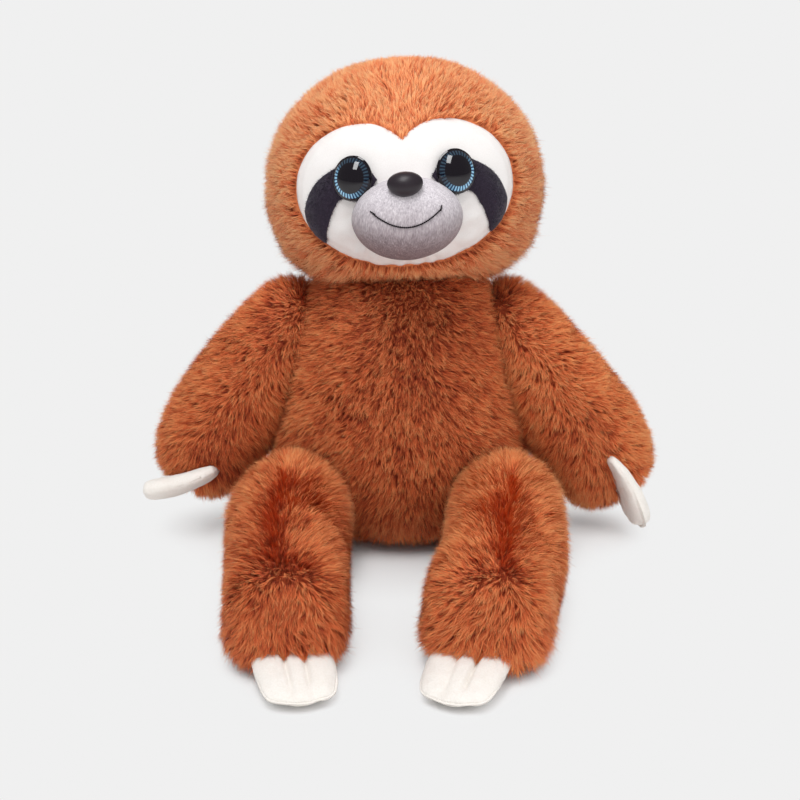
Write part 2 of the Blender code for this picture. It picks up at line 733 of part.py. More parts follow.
def build_eye(side, sign, tree, muzzle, through, head):
    point, normal = seat_on(tree, sign * EYE_SPREAD, -EYE_DROP)
    matrix = frame_of(point + normal * GAP, normal, Vector((0, 0, 1)))
    dome = eye_profile(0)
    name = f"eye_{side}"
    profile = dome + post_profile(0, 0)
    eye = add_piece(name, turned_mesh(name, profile), "black_plastic")
    place(turn(eye, EYE_STEPS), matrix)
    room = eye_profile(GAP) + [(0, -GAP)]
    cutter = add_cutter(f"eye_room_{side}", turned_mesh(f"eye_room_{side}", room))
    cut(muzzle, place(turn(cutter, EYE_STEPS), matrix))
    bore = bore_cutter(f"eye_bore_{side}", matrix)
    for piece in through:
        cut(piece, bore)
    cut(head, socket_cutter(f"eye_socket_{side}", matrix, OVERRUN))
    fasten(build_washer(f"eye_washer_{side}", matrix), eye)
    fasten(eye, head)


def build_washer(name, matrix):
    washer = add_piece(name, turned_mesh(name, washer_profile()), "washer_plastic")
    lowered = matrix @ Matrix.Translation((0, 0, -WASHER_DEPTH))
    return place(turn(washer, WASHER_STEPS), lowered)


def nose_mesh(name, grow):
    bm = bmesh.new()
    bmesh.ops.create_uvsphere(bm, u_segments=NOSE_STEPS, v_segments=NOSE_STEPS // 2, radius=1)
    half = Vector((NOSE_HALF_WIDTH, NOSE_HALF_HEIGHT, NOSE_HALF_DEPTH)) + Vector((grow,) * 3)
    for vert in bm.verts:
        vert.co = Vector(a * b for a, b in zip(vert.co, half))
    mesh = mesh_from(bm, name)
    mesh.shade_smooth()
    return mesh


def build_nose(tree, muzzle):
    """A rounded button pressed into the top of the muzzle, on a post with its washer."""
    point, _ = seat_on(tree, 0, -NOSE_DROP, NOSE_LIFT_DEG)
    head = head_frame()
    lift = math.radians(NOSE_LIFT_DEG)
    axis = head.to_3x3() @ Vector((0, -math.cos(lift), math.sin(lift)))
    up = head.to_3x3() @ Vector((0, 0, 1))
    back = frame_of(point - axis * NOSE_SEAT_DEPTH, axis, up)
    middle = back @ Matrix.Translation((0, 0, NOSE_HALF_DEPTH))
    nose = place(add_piece("nose", nose_mesh("nose", 0), "nose_plastic"), middle)
    start = NOSE_HALF_DEPTH / 2
    profile = [(0, start), (POST_RADIUS, start)] + post_profile(0, 0)
    post = turn(add_cutter("nose_post", turned_mesh("nose_post", profile)), WASHER_STEPS)
    combine(nose, place(post, back), "UNION")
    room = place(add_cutter("nose_room", nose_mesh("nose_room", GAP)), middle)
    cut(muzzle, room, socket_cutter("nose_socket", back, start))
    fasten(build_washer("nose_washer", back), nose)
    fasten(nose, muzzle)


def build_face(head):
    panel, prism = build_face_panel()
    patches = {}
    rooms = []
    for side, sign in SIDES:
        patches[side] = patch_solid(f"eye_patch_{side}", add_piece, sign, 0, prism, "dark_plush")
        rooms.append(patch_solid(f"patch_room_{side}", add_cutter, sign, GAP, prism))
    muzzle, muzzle_tree = build_muzzle()
    cut(muzzle, *rooms)
    patch_surface = head_form(add_cutter, "patch_surface", FACE_SINK - GAP - PATCH_THICKNESS)
    patch_tree = surface_tree(patch_surface)
    for side, sign in SIDES:
        build_eye(side, sign, patch_tree, muzzle, (panel, patches[side]), head)
        fasten(patches[side], panel)
    build_nose(muzzle_tree, muzzle)
    build_mouth(muzzle_tree, muzzle)
    fasten(panel, head)
    fasten(muzzle, head)


clear_scene()
parts = make_collection("plush_sloth")
cutters = make_collection("cutters")
torso_piece, floor_tool = build_torso()
for side_name, side_sign in SIDES:
    build_arm(side_name, side_sign, torso_piece)
    build_leg(side_name, side_sign, torso_piece, floor_tool)
build_face(build_head(torso_piece))
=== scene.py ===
import math
from collections import namedtuple

import bpy
import numpy as np
from mathutils import Matrix, Vector
from mathutils.bvhtree import BVHTree
from mathutils.geometry import delaunay_2d_cdt


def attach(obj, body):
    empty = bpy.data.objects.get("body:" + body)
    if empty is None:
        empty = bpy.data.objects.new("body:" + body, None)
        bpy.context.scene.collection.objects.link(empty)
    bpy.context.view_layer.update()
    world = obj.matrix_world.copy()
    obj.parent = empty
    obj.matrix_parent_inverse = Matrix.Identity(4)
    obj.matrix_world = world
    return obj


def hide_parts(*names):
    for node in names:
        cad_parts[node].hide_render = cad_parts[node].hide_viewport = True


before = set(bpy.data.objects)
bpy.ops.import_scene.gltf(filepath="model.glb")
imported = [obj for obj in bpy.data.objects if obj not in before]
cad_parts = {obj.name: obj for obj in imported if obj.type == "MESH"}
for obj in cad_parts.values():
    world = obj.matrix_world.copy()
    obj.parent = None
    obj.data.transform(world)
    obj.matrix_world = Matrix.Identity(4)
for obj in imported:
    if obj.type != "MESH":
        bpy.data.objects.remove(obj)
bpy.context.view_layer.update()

TAU = math.tau

# Camera
TARGET = Vector((0, 0, 0.076))
DISTANCE = 1.0
ELEVATION = math.radians(20)

camera_data = bpy.data.cameras.new("camera")
camera_data.lens = 75
camera_data.sensor_width = 36
camera = bpy.data.objects.new("camera", camera_data)
back = Vector((0, -math.cos(ELEVATION), math.sin(ELEVATION)))
camera.location = TARGET + back * DISTANCE
camera.rotation_euler = (-back).to_track_quat("-Z", "Y").to_euler()
bpy.context.scene.collection.objects.link(camera)
bpy.context.scene.camera = camera
bpy.context.scene.view_settings.view_transform = "Standard"

# The toy's own sizes in metres, as its solids have them
GAP = 0.0003
FLOOR_CUT = 0.0005
SOFT_SIDES, LIMB_SIDES, FINGER_SIDES = 8, 6, 6
TORSO_LOW = Vector((-0.079, -0.070, -FLOOR_CUT))
TORSO_HIGH = Vector((0.079, 0.068, 0.176))
TORSO_RINGS = ((0.00, 0.34, 0.34), (0.00, 0.62, 0.62), (0.12, 0.98, 0.96), (0.34, 1.00, 1.00),
               (0.66, 0.81, 0.86), (0.94, 0.60, 0.58))
HEAD_HALF = Vector((0.0804, 0.0740, 0.0670))
HEAD_CENTRE = Vector((0.002, 0.004, 0.214))
HEAD_TILT, HEAD_ROLL = math.radians(14), math.radians(4)
HEAD_RINGS = ((0.03, 0.56, 0.50), (0.20, 0.95, 0.90), (0.46, 1.00, 1.00), (0.74, 0.88, 0.90),
              (0.96, 0.46, 0.48))
ARM_RINGS = ((0.03, 0.54, 0.58), (0.24, 0.84, 0.88), (0.68, 1.00, 1.00), (0.97, 0.72, 0.72))
MUZZLE_RINGS = ((0.06, 0.60, 0.60), (0.46, 1.00, 1.00), (0.90, 0.72, 0.72))
FINGER_RINGS = ((0.03, 0.68, 0.64), (0.43, 1.00, 1.00), (0.94, 0.86, 0.58))

FACE_HALF_WIDTH, FACE_TOP, FACE_DROP = 0.0605, 0.0256, 0.0533
FACE_SINK = 0.0050
FACE_BACK = 0.012
FACE_PEAK = 0.60
FACE_UPPER = ((0.13, 0.84), (0.33, 1.00), (0.66, 0.86), (0.90, 0.40))
FACE_LOWER = ((1.00, 0.11), (0.96, 0.41), (0.77, 0.70), (0.42, 0.93), (0.00, 1.00))
PANEL_THICKNESS, PATCH_THICKNESS = 0.0020, 0.0012
PATCH_POINTS = (
    (0.240, -0.100), (0.350, 0.050), (0.490, 0.085), (0.620, 0.030), (0.790, -0.100),
    (0.890, -0.300), (0.905, -0.450), (0.850, -0.600), (0.765, -0.700), (0.735, -0.590),
    (0.655, -0.375), (0.570, -0.265), (0.400, -0.290),
)
MUZZLE_HALF = Vector((0.0298, 0.0222, 0.0250))
MUZZLE_DROP, MUZZLE_REACH = 0.0269, 0.0915
MOUTH_HALF_WIDTH, MOUTH_CORNER_DROP, MOUTH_SAG = 0.0177, 0.0235, 0.0083
THREAD_RADIUS = 0.0006
EYE_RADIUS, EYE_HEIGHT, EYE_RIM = 0.0114, 0.0070, 0.0012
EYE_SPREAD, EYE_DROP = 0.0272, 0.0038
NOSE_HALF = Vector((0.0094, 0.0068, 0.0062))
NOSE_DROP, NOSE_LIFT, NOSE_SEAT = 0.0075, math.radians(34), 0.0030
POST_RADIUS, POST_LENGTH = 0.0020, 0.0110

SHOULDER = Vector((0.066, 0.0, 0.124))
ARM_RADIUS, ARM_ROOT = 0.0325, 0.0270
ARMS = {"left": (0.0988, (0.53, -0.05, -0.85)), "right": (0.0891, (-0.53, 0.0, -0.85))}
HIP_RADIUS = 0.0345
HIP = Vector((0.060, -0.058, HIP_RADIUS - FLOOR_CUT))
LEG_RADIUS, LEG_ROOT = 0.0340, 0.0270
LEGS = {"left": (0.1175, (-0.105, -1.0, -0.015)), "right": (0.1150, (0.015, -1.0, -0.015))}
FLANK_HALF_WIDTH, FLANK_SLOPE, FLANK_WAIST_REACH = 0.0460, 0.36, 0.056
FLANK_FLARE = 0.737

HAND_CLAW_LENGTH, HAND_CLAW_BEND = 0.047, math.radians(26)
FOOT_CLAW_LENGTH, FOOT_CLAW_BEND = 0.055, math.radians(10)
FINGER_HALF_WIDTH, FINGER_PITCH, FINGER_HALF_THICK = 0.01025, 0.0120, 0.00625
FINGER_TAPER, FINGER_DROP = math.radians(4), 0.05
HAND_CLAWS = {
    "left": ((0.10, -0.63, 0.32), (0.64, -0.15, -0.75), (0.84, 0.18, 0.49)),
    "right": ((0.17, -0.77, -0.19), (-0.87, -0.12, -0.48), (0.42, -0.31, -0.85)),
}
FOOT_CLAWS = {
    "left": ((-0.20, -0.24, -0.62), (-0.32, -1.00, -0.02), (0.00, 0.02, 1.00)),
    "right": ((0.02, -0.24, -0.62), (0.20, -1.00, -0.02), (0.00, 0.02, 1.00)),
}
SIDES = (("left", 1), ("right", -1))


def head_matrix():
    tilt = Matrix.Rotation(-HEAD_TILT, 4, "X")
    roll = Matrix.Rotation(-HEAD_ROLL, 4, "Y")
    return Matrix.Translation(HEAD_CENTRE) @ tilt @ roll


HEAD = head_matrix()
HEAD_INVERSE = HEAD.inverted()


# Geometry helpers
def link(thing):
    bpy.context.scene.collection.objects.link(thing)
    return thing


def evaluated_mesh(thing):
    bpy.context.view_layer.update()
    graph = bpy.context.evaluated_depsgraph_get()
    return bpy.data.meshes.new_from_object(thing.evaluated_get(graph), depsgraph=graph)


def applied(mesh, *modifiers):
    """The mesh after the modifiers, each given as a type and its settings."""
    thing = link(bpy.data.objects.new("worked", mesh))
    for kind, settings in modifiers:
        modifier = thing.modifiers.new(kind, kind)
        for key, value in settings.items():
            setattr(modifier, key, value)
    worked = evaluated_mesh(thing)
    bpy.data.objects.remove(thing)
    bpy.data.meshes.remove(mesh)
    return worked


def frame_of(origin, along, up):
    z_axis = Vector(along).normalized()
    x_axis = Vector(up).cross(z_axis).normalized()
    y_axis = z_axis.cross(x_axis)
    turned = Matrix((x_axis, y_axis, z_axis)).transposed().to_4x4()
    return Matrix.Translation(origin) @ turned


def vertex_values(mesh, what):
    values = np.zeros(len(mesh.vertices) * 3, np.float32)
    mesh.vertices.foreach_get(what, values)
    return values.reshape(-1, 3).astype(float)


def coordinates(mesh):
    return vertex_values(mesh, "co")


def set_coordinates(mesh, co):
    mesh.vertices.foreach_set("co", co.astype(np.float32).ravel())
    mesh.update()


def triangles(mesh):
    mesh.calc_loop_triangles()
    tri = np.zeros(len(mesh.loop_triangles) * 3, np.int32)
    mesh.loop_triangles.foreach_get("vertices", tri)
    return tri.reshape(-1, 3)


def vertex_normals(mesh):
    return vertex_values(mesh, "normal")


def unit(vectors):
    length = np.linalg.norm(vectors, axis=-1, keepdims=True)
    return vectors / np.maximum(length, 1e-9)


def smoothstep(low, high, value):
    share = np.clip((value - low) / (high - low), 0, 1)
    return share * share * (3 - 2 * share)


def tree_of(mesh):
    return BVHTree.FromPolygons([tuple(v) for v in coordinates(mesh)],
                                [tuple(t) for t in triangles(mesh).tolist()])


def mesh_of(name, co, faces):
    mesh = bpy.data.meshes.new(name)
    mesh.from_pydata([tuple(v) for v in co], [], faces)
    mesh.update()
    return mesh


def joined(name, meshes):
    """Several closed shells as one mesh."""
    co, faces, start = [], [], 0
    for mesh in meshes:
        part = coordinates(mesh)
        co.append(part)
        faces += [tuple(v + start for v in face.vertices) for face in mesh.polygons]
        start += len(part)
        bpy.data.meshes.remove(mesh)
    return mesh_of(name, np.concatenate(co), faces)


def cage(name, rings, sides):
    """A closed cage: a point below, a ring for each row of the table, and a point above."""
    co = [(0, 0, 0)]
    for height, width, depth in rings:
        for step in range(sides):
            angle = TAU * (step / sides + 0.25)
            co.append((width * math.cos(angle), depth * math.sin(angle), height))
    co.append((0, 0, 1))
    faces = []
    for step in range(sides):
        a, b = 1 + step, 1 + (step + 1) % sides
        faces.append((0, b, a))
        for _ in rings[1:]:
            faces.append((a, b, b + sides, a + sides))
            a, b = a + sides, b + sides
        faces.append((a, b, len(co) - 1))
    return mesh_of(name, co, faces)


def smooth_form(name, rings, low, high, sides, levels, matrix):
    """A stuffed form that fills the box, as a plain smooth mesh."""
    settings = {"levels": levels, "render_levels": levels}
    mesh = applied(cage(name, rings, sides), ("SUBSURF", settings))
    co = coordinates(mesh)
    a, b = co.min(0), co.max(0)
    co = np.array(low) + (co - a) / (b - a) * (np.array(high) - np.array(low))
    set_coordinates(mesh, co)
    mesh.transform(matrix)
    mesh.update()
    mesh.shade_smooth()
    mesh.name = name
    return mesh


def head_form(name, inset, matrix):
    half = HEAD_HALF - Vector((inset,) * 3)
    return smooth_form(name, HEAD_RINGS, -half, half, SOFT_SIDES, 4, matrix)


def value_noise(points, scale, seed):
    """Smooth noise from 0 to 1 on a lattice of the given cell size."""
    rng = np.random.default_rng(seed)
    table = rng.random((32, 32, 32))
    grid = points / scale + 100
    base = np.floor(grid).astype(int)
    part = grid - base
    part = part * part * (3 - 2 * part)
    total = np.zeros(len(points))
    for corner in range(8):
        offset = np.array([(corner >> axis) & 1 for axis in range(3)])
        index = (base + offset) % 32
        weight = np.prod(np.where(offset, part, 1 - part), axis=1)
        total += weight * table[index[:, 0], index[:, 1], index[:, 2]]
    return total


def to_head(points):
    matrix = np.array(HEAD_INVERSE)
    return points @ matrix[:3, :3].T + matrix[:3, 3]


def head_to_world(vectors):
    return vectors @ np.array(HEAD.to_3x3()).T


# Materials
def new_material(name, roughness, specular=0.5, **others):
    """others are the shader's other inputs, with _ for each space."""
    material = bpy.data.materials.new(name)
    material.use_nodes = True
    shader = material.node_tree.nodes["Principled BSDF"]
    shader.inputs["Roughness"].default_value = roughness
    shader.inputs["Specular IOR Level"].default_value = specular
    for key, value in others.items():
        shader.inputs[key.replace("_", " ")].default_value = value
    return material, material.node_tree, shader


def add_node(tree, kind, **settings):
    """settings are the node's inputs, with _ for each space, and its properties."""
    node = tree.nodes.new(kind)
    for key, value in settings.items():
        if key.replace("_", " ") in node.inputs:
            node.inputs[key.replace("_", " ")].default_value = value
        else:
            setattr(node, key, value)
    return node


def feed(tree, values, sockets):
    """Each socket takes a number or a colour, or else a link."""
    for value, socket in zip(values, sockets):
        if isinstance(value, tuple):
            socket.default_value = (*value, 1)
        elif isinstance(value, (int, float)):
            socket.default_value = value
        else:
            tree.links.new(value, socket)


def ramp(tree, fac, stops):
    node = tree.nodes.new("ShaderNodeValToRGB")
    elements = node.color_ramp.elements
    while len(elements) < len(stops):
        elements.new(0.5)
    for element, (position, colour) in zip(elements, stops):
        element.position = position
        element.color = (*colour, 1)
    tree.links.new(fac, node.inputs["Fac"])
    return node.outputs["Color"]


def mix(tree, fac, one, other):
    node = add_node(tree, "ShaderNodeMix", data_type="RGBA")
    colours = [socket for socket in node.inputs if socket.type == "RGBA"]
    feed(tree, (fac, one, other), (node.inputs[0], *colours))
    return [socket for socket in node.outputs if socket.type == "RGBA"][0]


def mixed_shaders(tree, fac, one, other):
    node = tree.nodes.new("ShaderNodeMixShader")
    feed(tree, (fac, one, other), node.inputs)
    return node.outputs["Shader"]


def math_node(tree, operation, *values):
    node = add_node(tree, "ShaderNodeMath", operation=operation)
    feed(tree, values, node.inputs)
    return node.outputs[0]


def share_between(tree, value, low, high, least=0.0, kind="SMOOTHSTEP"):
    """How far a value is on its way from low to high, as a share that starts at the least."""
    node = add_node(tree, "ShaderNodeMapRange", interpolation_type=kind, From_Min=low,
                    From_Max=high, To_Min=least)
    tree.links.new(value, node.inputs["Value"])
    return node.outputs["Result"]


def parts_of(tree, vector):
    node = tree.nodes.new("ShaderNodeSeparateXYZ")
    tree.links.new(vector, node.inputs["Vector"])
    return node.outputs["X"], node.outputs["Y"], node.outputs["Z"]


def bump(tree, shader, height, strength, distance):
    node = add_node(tree, "ShaderNodeBump", Strength=strength, Distance=distance)
    tree.links.new(height, node.inputs["Height"])
    tree.links.new(node.outputs["Normal"], shader.inputs["Normal"])


def noise_at(tree, scale, detail=3.0, stretch=(1, 1, 1), roughness=0.5):
    place = tree.nodes.new("ShaderNodeTexCoord")
    mapping = add_node(tree, "ShaderNodeMapping", Scale=stretch)
    noise = add_node(tree, "ShaderNodeTexNoise", Scale=scale, Detail=detail, Roughness=roughness)
    tree.links.new(place.outputs["Object"], mapping.inputs["Vector"])
    tree.links.new(mapping.outputs["Vector"], noise.inputs["Vector"])
    return noise.outputs["Fac"]


# Each ramp goes from root to tip; its darkening towards the root is painted shade deep in the pile,
# over the pile's own colour
FUR_LOW = ((0.0, (0.100, 0.0130, 0.0070)), (0.45, (0.220, 0.0260, 0.0100)),
           (0.80, (0.400, 0.0480, 0.0150)), (1.0, (0.500, 0.0680, 0.0220)))
FUR_MIDDLE = ((0.0, (0.320, 0.0370, 0.0130)), (0.45, (0.720, 0.1120, 0.0330)),
              (0.80, (0.960, 0.2000, 0.0580)), (1.0, (1.000, 0.3000, 0.1050)))
# The head's palest tones, a lit copy of the body's: painted light from above
FUR_HIGH_PAINTED_LIGHT = ((0.0, (0.780, 0.2100, 0.0780)), (0.45, (1.000, 0.3700, 0.1350)),
            (0.80, (1.000, 0.5700, 0.2600)), (1.0, (1.000, 0.7600, 0.4600)))
FUR_GOLD = ((0.0, (0.620, 0.1150, 0.0360)), (0.45, (1.000, 0.2550, 0.0760)),
            (0.80, (1.000, 0.4250, 0.1500)), (1.0, (1.000, 0.5900, 0.2700)))


def strand_material(name, tones, sheen, tint):
    """Pile: across the map runs each strand's own tone, along it the way from root to tip."""
    material, tree, shader = new_material(name, 0.60, 0.25, Sheen_Weight=sheen,
                                          Sheen_Roughness=0.45, Sheen_Tint=(*tint, 1))
    uv = add_node(tree, "ShaderNodeUVMap", uv_map="OFBake")
    tone, along, _ = parts_of(tree, uv.outputs["UV"])
    colour = ramp(tree, along, tones[0])
    steps = len(tones) - 1
    for number, stops in enumerate(tones[1:]):
        share = share_between(tree, tone, number / steps, (number + 1) / steps, kind="LINEAR")
        colour = mix(tree, share, colour, ramp(tree, along, stops))
    tree.links.new(colour, shader.inputs["Base Color"])
    return material


def cloth_material(name, colour, other, scale, strength, distance, roughness=0.9, sheen=0.0):
    """A napped cloth: two tones that shift with a fine grain, and the grain raised."""
    material, tree, shader = new_material(name, roughness, 0.15, Sheen_Weight=sheen,
                                          Sheen_Roughness=0.5)
    grain = noise_at(tree, scale, 4.0, roughness=0.62)
    broad = noise_at(tree, scale / 14, 2.0)
    spread = math_node(tree, "MULTIPLY_ADD", grain, 0.72, math_node(tree, "MULTIPLY", broad, 0.28))
    stops = ((0.34, other), (0.62, colour))
    tree.links.new(ramp(tree, spread, stops), shader.inputs["Base Color"])
    bump(tree, shader, grain, strength, distance)
    return material


def muzzle_material():
    """Heathered grey: pale and dark fibres in short upright streaks; painted shade darkens it below.
    """
    material, tree, shader = new_material("muzzle_plush", 0.88, 0.15, Sheen_Weight=0.12)
    streak = noise_at(tree, 1500, 2.0, (1.0, 1.0, 0.28), 0.6)
    cloud = noise_at(tree, 300, 3.0, (1, 1, 0.6), 0.6)
    both = math_node(tree, "MULTIPLY_ADD", streak, 0.68, math_node(tree, "MULTIPLY", cloud, 0.32))
    above = ((0.32, (0.440, 0.404, 0.440)), (0.46, (0.620, 0.578, 0.618)),
             (0.56, (0.735, 0.694, 0.732)), (0.66, (0.860, 0.822, 0.856)))
    # The darker, browner tones below are painted shade on the muzzle's underside
    below = ((0.30, (0.110, 0.066, 0.070)), (0.46, (0.178, 0.118, 0.125)),
             (0.58, (0.240, 0.170, 0.178)), (0.70, (0.340, 0.262, 0.272)))
    place = tree.nodes.new("ShaderNodeTexCoord")
    height = share_between(tree, parts_of(tree, place.outputs["Object"])[2], *MUZZLE_PAINTED_SHADE)
    colour = mix(tree, height, ramp(tree, both, below), ramp(tree, both, above))
    tree.links.new(colour, shader.inputs["Base Color"])
    bump(tree, shader, both, 0.55, 0.0006)
    return material


def eye_material(name, bright_angle, ring):
    """A black dome over a ring of short pale strokes: the map runs round it and outward."""
    material, tree, shader = new_material(name, 0.045, 0.50, Coat_Weight=0.15,
                                          Coat_Roughness=0.03)
    uv = add_node(tree, "ShaderNodeUVMap", uv_map="OFBake")
    round_it, outward, _ = parts_of(tree, uv.outputs["UV"])
    turn = math_node(tree, "MULTIPLY", math_node(tree, "SUBTRACT", round_it, bright_angle), TAU)
    bright = share_between(tree, math_node(tree, "COSINE", turn), -0.20, 0.85, 0.07)
    wave = math_node(tree, "SINE", math_node(tree, "MULTIPLY", round_it, TAU * EYE_STROKES))
    stroke = share_between(tree, wave, -0.35, 0.55)
    inner, outer = ring
    soft = (outer - inner) * 0.20
    rise = share_between(tree, outward, inner, inner + soft)
    fall = share_between(tree, outward, outer, outer - soft)
    band = math_node(tree, "MULTIPLY", math_node(tree, "MULTIPLY", rise, fall), bright)
    between = mix(tree, band, (0.005, 0.003, 0.006), (0.008, 0.070, 0.190))
    lit = math_node(tree, "MULTIPLY", band, stroke)
    tree.links.new(mix(tree, lit, between, (0.36, 0.72, 0.95)), shader.inputs["Base Color"])
    return material


def plastic_material(name, colour, other, roughness, scale, strength, specular=0.5):
    """Moulded plastic with a faint grain in its colour and its face."""
    material, tree, shader = new_material(name, roughness, specular)
    grain = noise_at(tree, scale, 3.0)
    tree.links.new(mix(tree, grain, colour, other), shader.inputs["Base Color"])
    bump(tree, shader, grain, strength, 0.0001)
    return material


EYE_STROKES = 34
# Heights in metres over which the muzzle's painted shade gives way to its pale tones
MUZZLE_PAINTED_SHADE = (0.184, 0.228)
FUR = strand_material("fur_pile", (FUR_LOW, FUR_MIDDLE, FUR_GOLD), 0.25, (1.0, 0.55, 0.30))
# The head's pile is a lighter, paler copy of the body's: painted light from above
HEAD_FUR = strand_material("head_fur_pile", (FUR_LOW, FUR_MIDDLE, FUR_HIGH_PAINTED_LIGHT), 0.30,
                           (1.0, 0.60, 0.36))
NAP = strand_material("patch_nap", (((0.0, (0.014, 0.010, 0.018)), (1.0, (0.044, 0.031, 0.054))),
                                    ((0.0, (0.028, 0.020, 0.034)), (1.0, (0.105, 0.076, 0.120)))),
                      0.20, (0.75, 0.70, 1.0))
SKIN = cloth_material("fur_cloth", (0.420, 0.074, 0.026), (0.250, 0.040, 0.015), 900, 0.6, 0.001)
# The head's cloth is lighter than the body's too: painted light from above
HEAD_SKIN = cloth_material("head_fur_cloth", (0.860, 0.300, 0.120), (0.640, 0.180, 0.064), 900,
                           0.6, 0.001)
FACE_PLUSH = cloth_material("face_plush", (0.895, 0.868, 0.852), (0.845, 0.810, 0.790), 1700,
                            0.30, 0.0004, sheen=0.10)
PATCH_PLUSH = cloth_material("patch_plush", (0.044, 0.032, 0.054), (0.022, 0.016, 0.028), 1500,
                             0.6, 0.0006, sheen=0.15)
CLAW_PLUSH = cloth_material("claw_plush", (0.930, 0.892, 0.845), (0.860, 0.812, 0.750), 1100,
                            0.55, 0.0006, sheen=0.12)
MUZZLE_PLUSH = muzzle_material()
NOSE_PLASTIC = plastic_material("nose_plastic", (0.018, 0.012, 0.017), (0.028, 0.020, 0.026),
                                0.40, 1400, 0.15, 0.40)
WASHER_PLASTIC = plastic_material("washer_plastic", (0.82, 0.82, 0.80), (0.72, 0.72, 0.69), 0.45,
                                  500, 0.2)
THREAD = cloth_material("thread", (0.022, 0.017, 0.021), (0.008, 0.006, 0.008), 2600, 0.5, 0.0003,
                        0.7)


# Strands of pile
def scatter(mesh, gap, rng):
    """Random places on a surface, one for each square of the gap, and its normals there."""
    co, tri, normals = coordinates(mesh), triangles(mesh), vertex_normals(mesh)
    a, b, c = co[tri[:, 0]], co[tri[:, 1]], co[tri[:, 2]]
    area = np.linalg.norm(np.cross(b - a, c - a), axis=1) / 2
    count = int(area.sum() / (gap * gap))
    total = np.cumsum(area)
    pick = np.minimum(np.searchsorted(total, rng.random(count) * total[-1]), len(tri) - 1)
    s, t = rng.random(count), rng.random(count)
    over = s + t > 1
    s[over], t[over] = 1 - s[over], 1 - t[over]
    weights = np.stack((1 - s - t, s, t), 1)[:, :, None]
    corners = tri[pick]
    places = (co[corners] * weights).sum(1)
    return places, unit((normals[corners] * weights).sum(1))


def push_out(points, tree, margin):
    """Moves the points that lie inside a closed surface to just outside it."""
    for index, point in enumerate(points):
        spot = Vector(point)
        where, normal, _, _ = tree.find_nearest(spot)
        if (spot - where).dot(normal) < margin:
            points[index] = where + normal * margin


LEVELS = 2
TAPER = (1.0, 0.80)
LIFT = 0.25
LEAST_HEIGHT = 0.0006
TONE_SPREAD = 0.002


def strand_points(roots, rise, lay, length, bend, clump_line, clump):
    """The middle line of each strand, at LEVELS + 1 places from root to tip."""
    points = np.zeros((LEVELS + 1, len(roots), 3))
    for level in range(LEVELS + 1):
        s = level / LEVELS
        path = (s - s * s / 2) * rise + (s * s / 2) * lay
        own = roots + path * length[:, None] + bend * (s * s) * length[:, None]
        pull = (clump * s ** 1.3)[:, None]
        points[level] = own * (1 - pull) + clump_line(s) * pull
    points[:, :, 2] = np.maximum(points[:, :, 2], LEAST_HEIGHT)
    return points


def strand_mesh(name, points, normals, width, tone, rng):
    """Flat tapered strands along their middle lines, shaded as the pile that they stand in."""
    count = points.shape[1]
    roll = rng.uniform(-1.0, 1.0, count)
    rows = 2 * LEVELS + 1
    verts = np.zeros((count, rows, 3), np.float32)
    shade = np.zeros((count, rows, 3), np.float32)
    uv = np.zeros((count, rows, 2), np.float32)
    for level in range(LEVELS):
        ahead = unit(points[level + 1] - points[level])
        side = unit(np.cross(ahead, normals))
        face = unit(np.cross(side, ahead))
        across = unit(side * np.cos(roll)[:, None] + face * np.sin(roll)[:, None])
        half = across * (width * TAPER[level] / 2)[:, None]
        verts[:, 2 * level] = points[level] - half
        verts[:, 2 * level + 1] = points[level] + half
        flat = unit(np.cross(across, ahead))
        flat *= np.sign((flat * normals).sum(1))[:, None]
        soft = unit(normals * 0.8 + flat * 0.5 + ahead * 0.2 + np.array((0, 0, LIFT)))
        shade[:, 2 * level] = unit(soft - across * 0.35)
        shade[:, 2 * level + 1] = unit(soft + across * 0.35)
        uv[:, 2 * level, 0] = tone - TONE_SPREAD
        uv[:, 2 * level + 1, 0] = tone + TONE_SPREAD
        uv[:, 2 * level:2 * level + 2, 1] = level / LEVELS * 0.98 + 0.01
    verts[:, -1] = points[LEVELS]
    shade[:, -1] = unit(normals * 0.7 + ahead * 0.4 + np.array((0, 0, LIFT)))
    uv[:, -1, 0] = tone
    uv[:, -1, 1] = 0.99
    pattern, starts = [], []
    for level in range(LEVELS - 1):
        starts.append(len(pattern))
        pattern += [2 * level, 2 * level + 1, 2 * level + 3, 2 * level + 2]
    starts.append(len(pattern))
    pattern += [2 * LEVELS - 2, 2 * LEVELS - 1, 2 * LEVELS]
    strand = np.arange(count)[:, None]
    loops = (strand * rows + np.array(pattern)).ravel().astype(np.int32)
    begin = (strand * len(pattern) + np.array(starts)).ravel().astype(np.int32)
    mesh = bpy.data.meshes.new(name)
    mesh.vertices.add(count * rows)
    mesh.vertices.foreach_set("co", verts.ravel())
    mesh.loops.add(len(loops))
    mesh.loops.foreach_set("vertex_index", loops)
    mesh.polygons.add(len(begin))
    mesh.polygons.foreach_set("loop_start", begin)
    mesh.update()
    layer = mesh.uv_layers.new(name="OFBake")
    layer.data.foreach_set("uv", uv.reshape(-1, 2)[loops].ravel())
    mesh.shade_smooth()
    custom = mesh.attributes.new("custom_normal", "FLOAT_VECTOR", "POINT")
    custom.data.foreach_set("vector", shade.ravel())
    mesh.update()
    return mesh


# How a pile is made: tufts a gap apart, strands in each, lengths and widths in metres, the
# angles in degrees at which a strand leaves its root and lies at its tip, how far its tufts
# spread and draw together, how it hangs, and how much lighter than the rest it is
Pile = namedtuple("Pile", "gap strands length width rise lay radius clump droop tone")
MOST_STRANDS = 60000


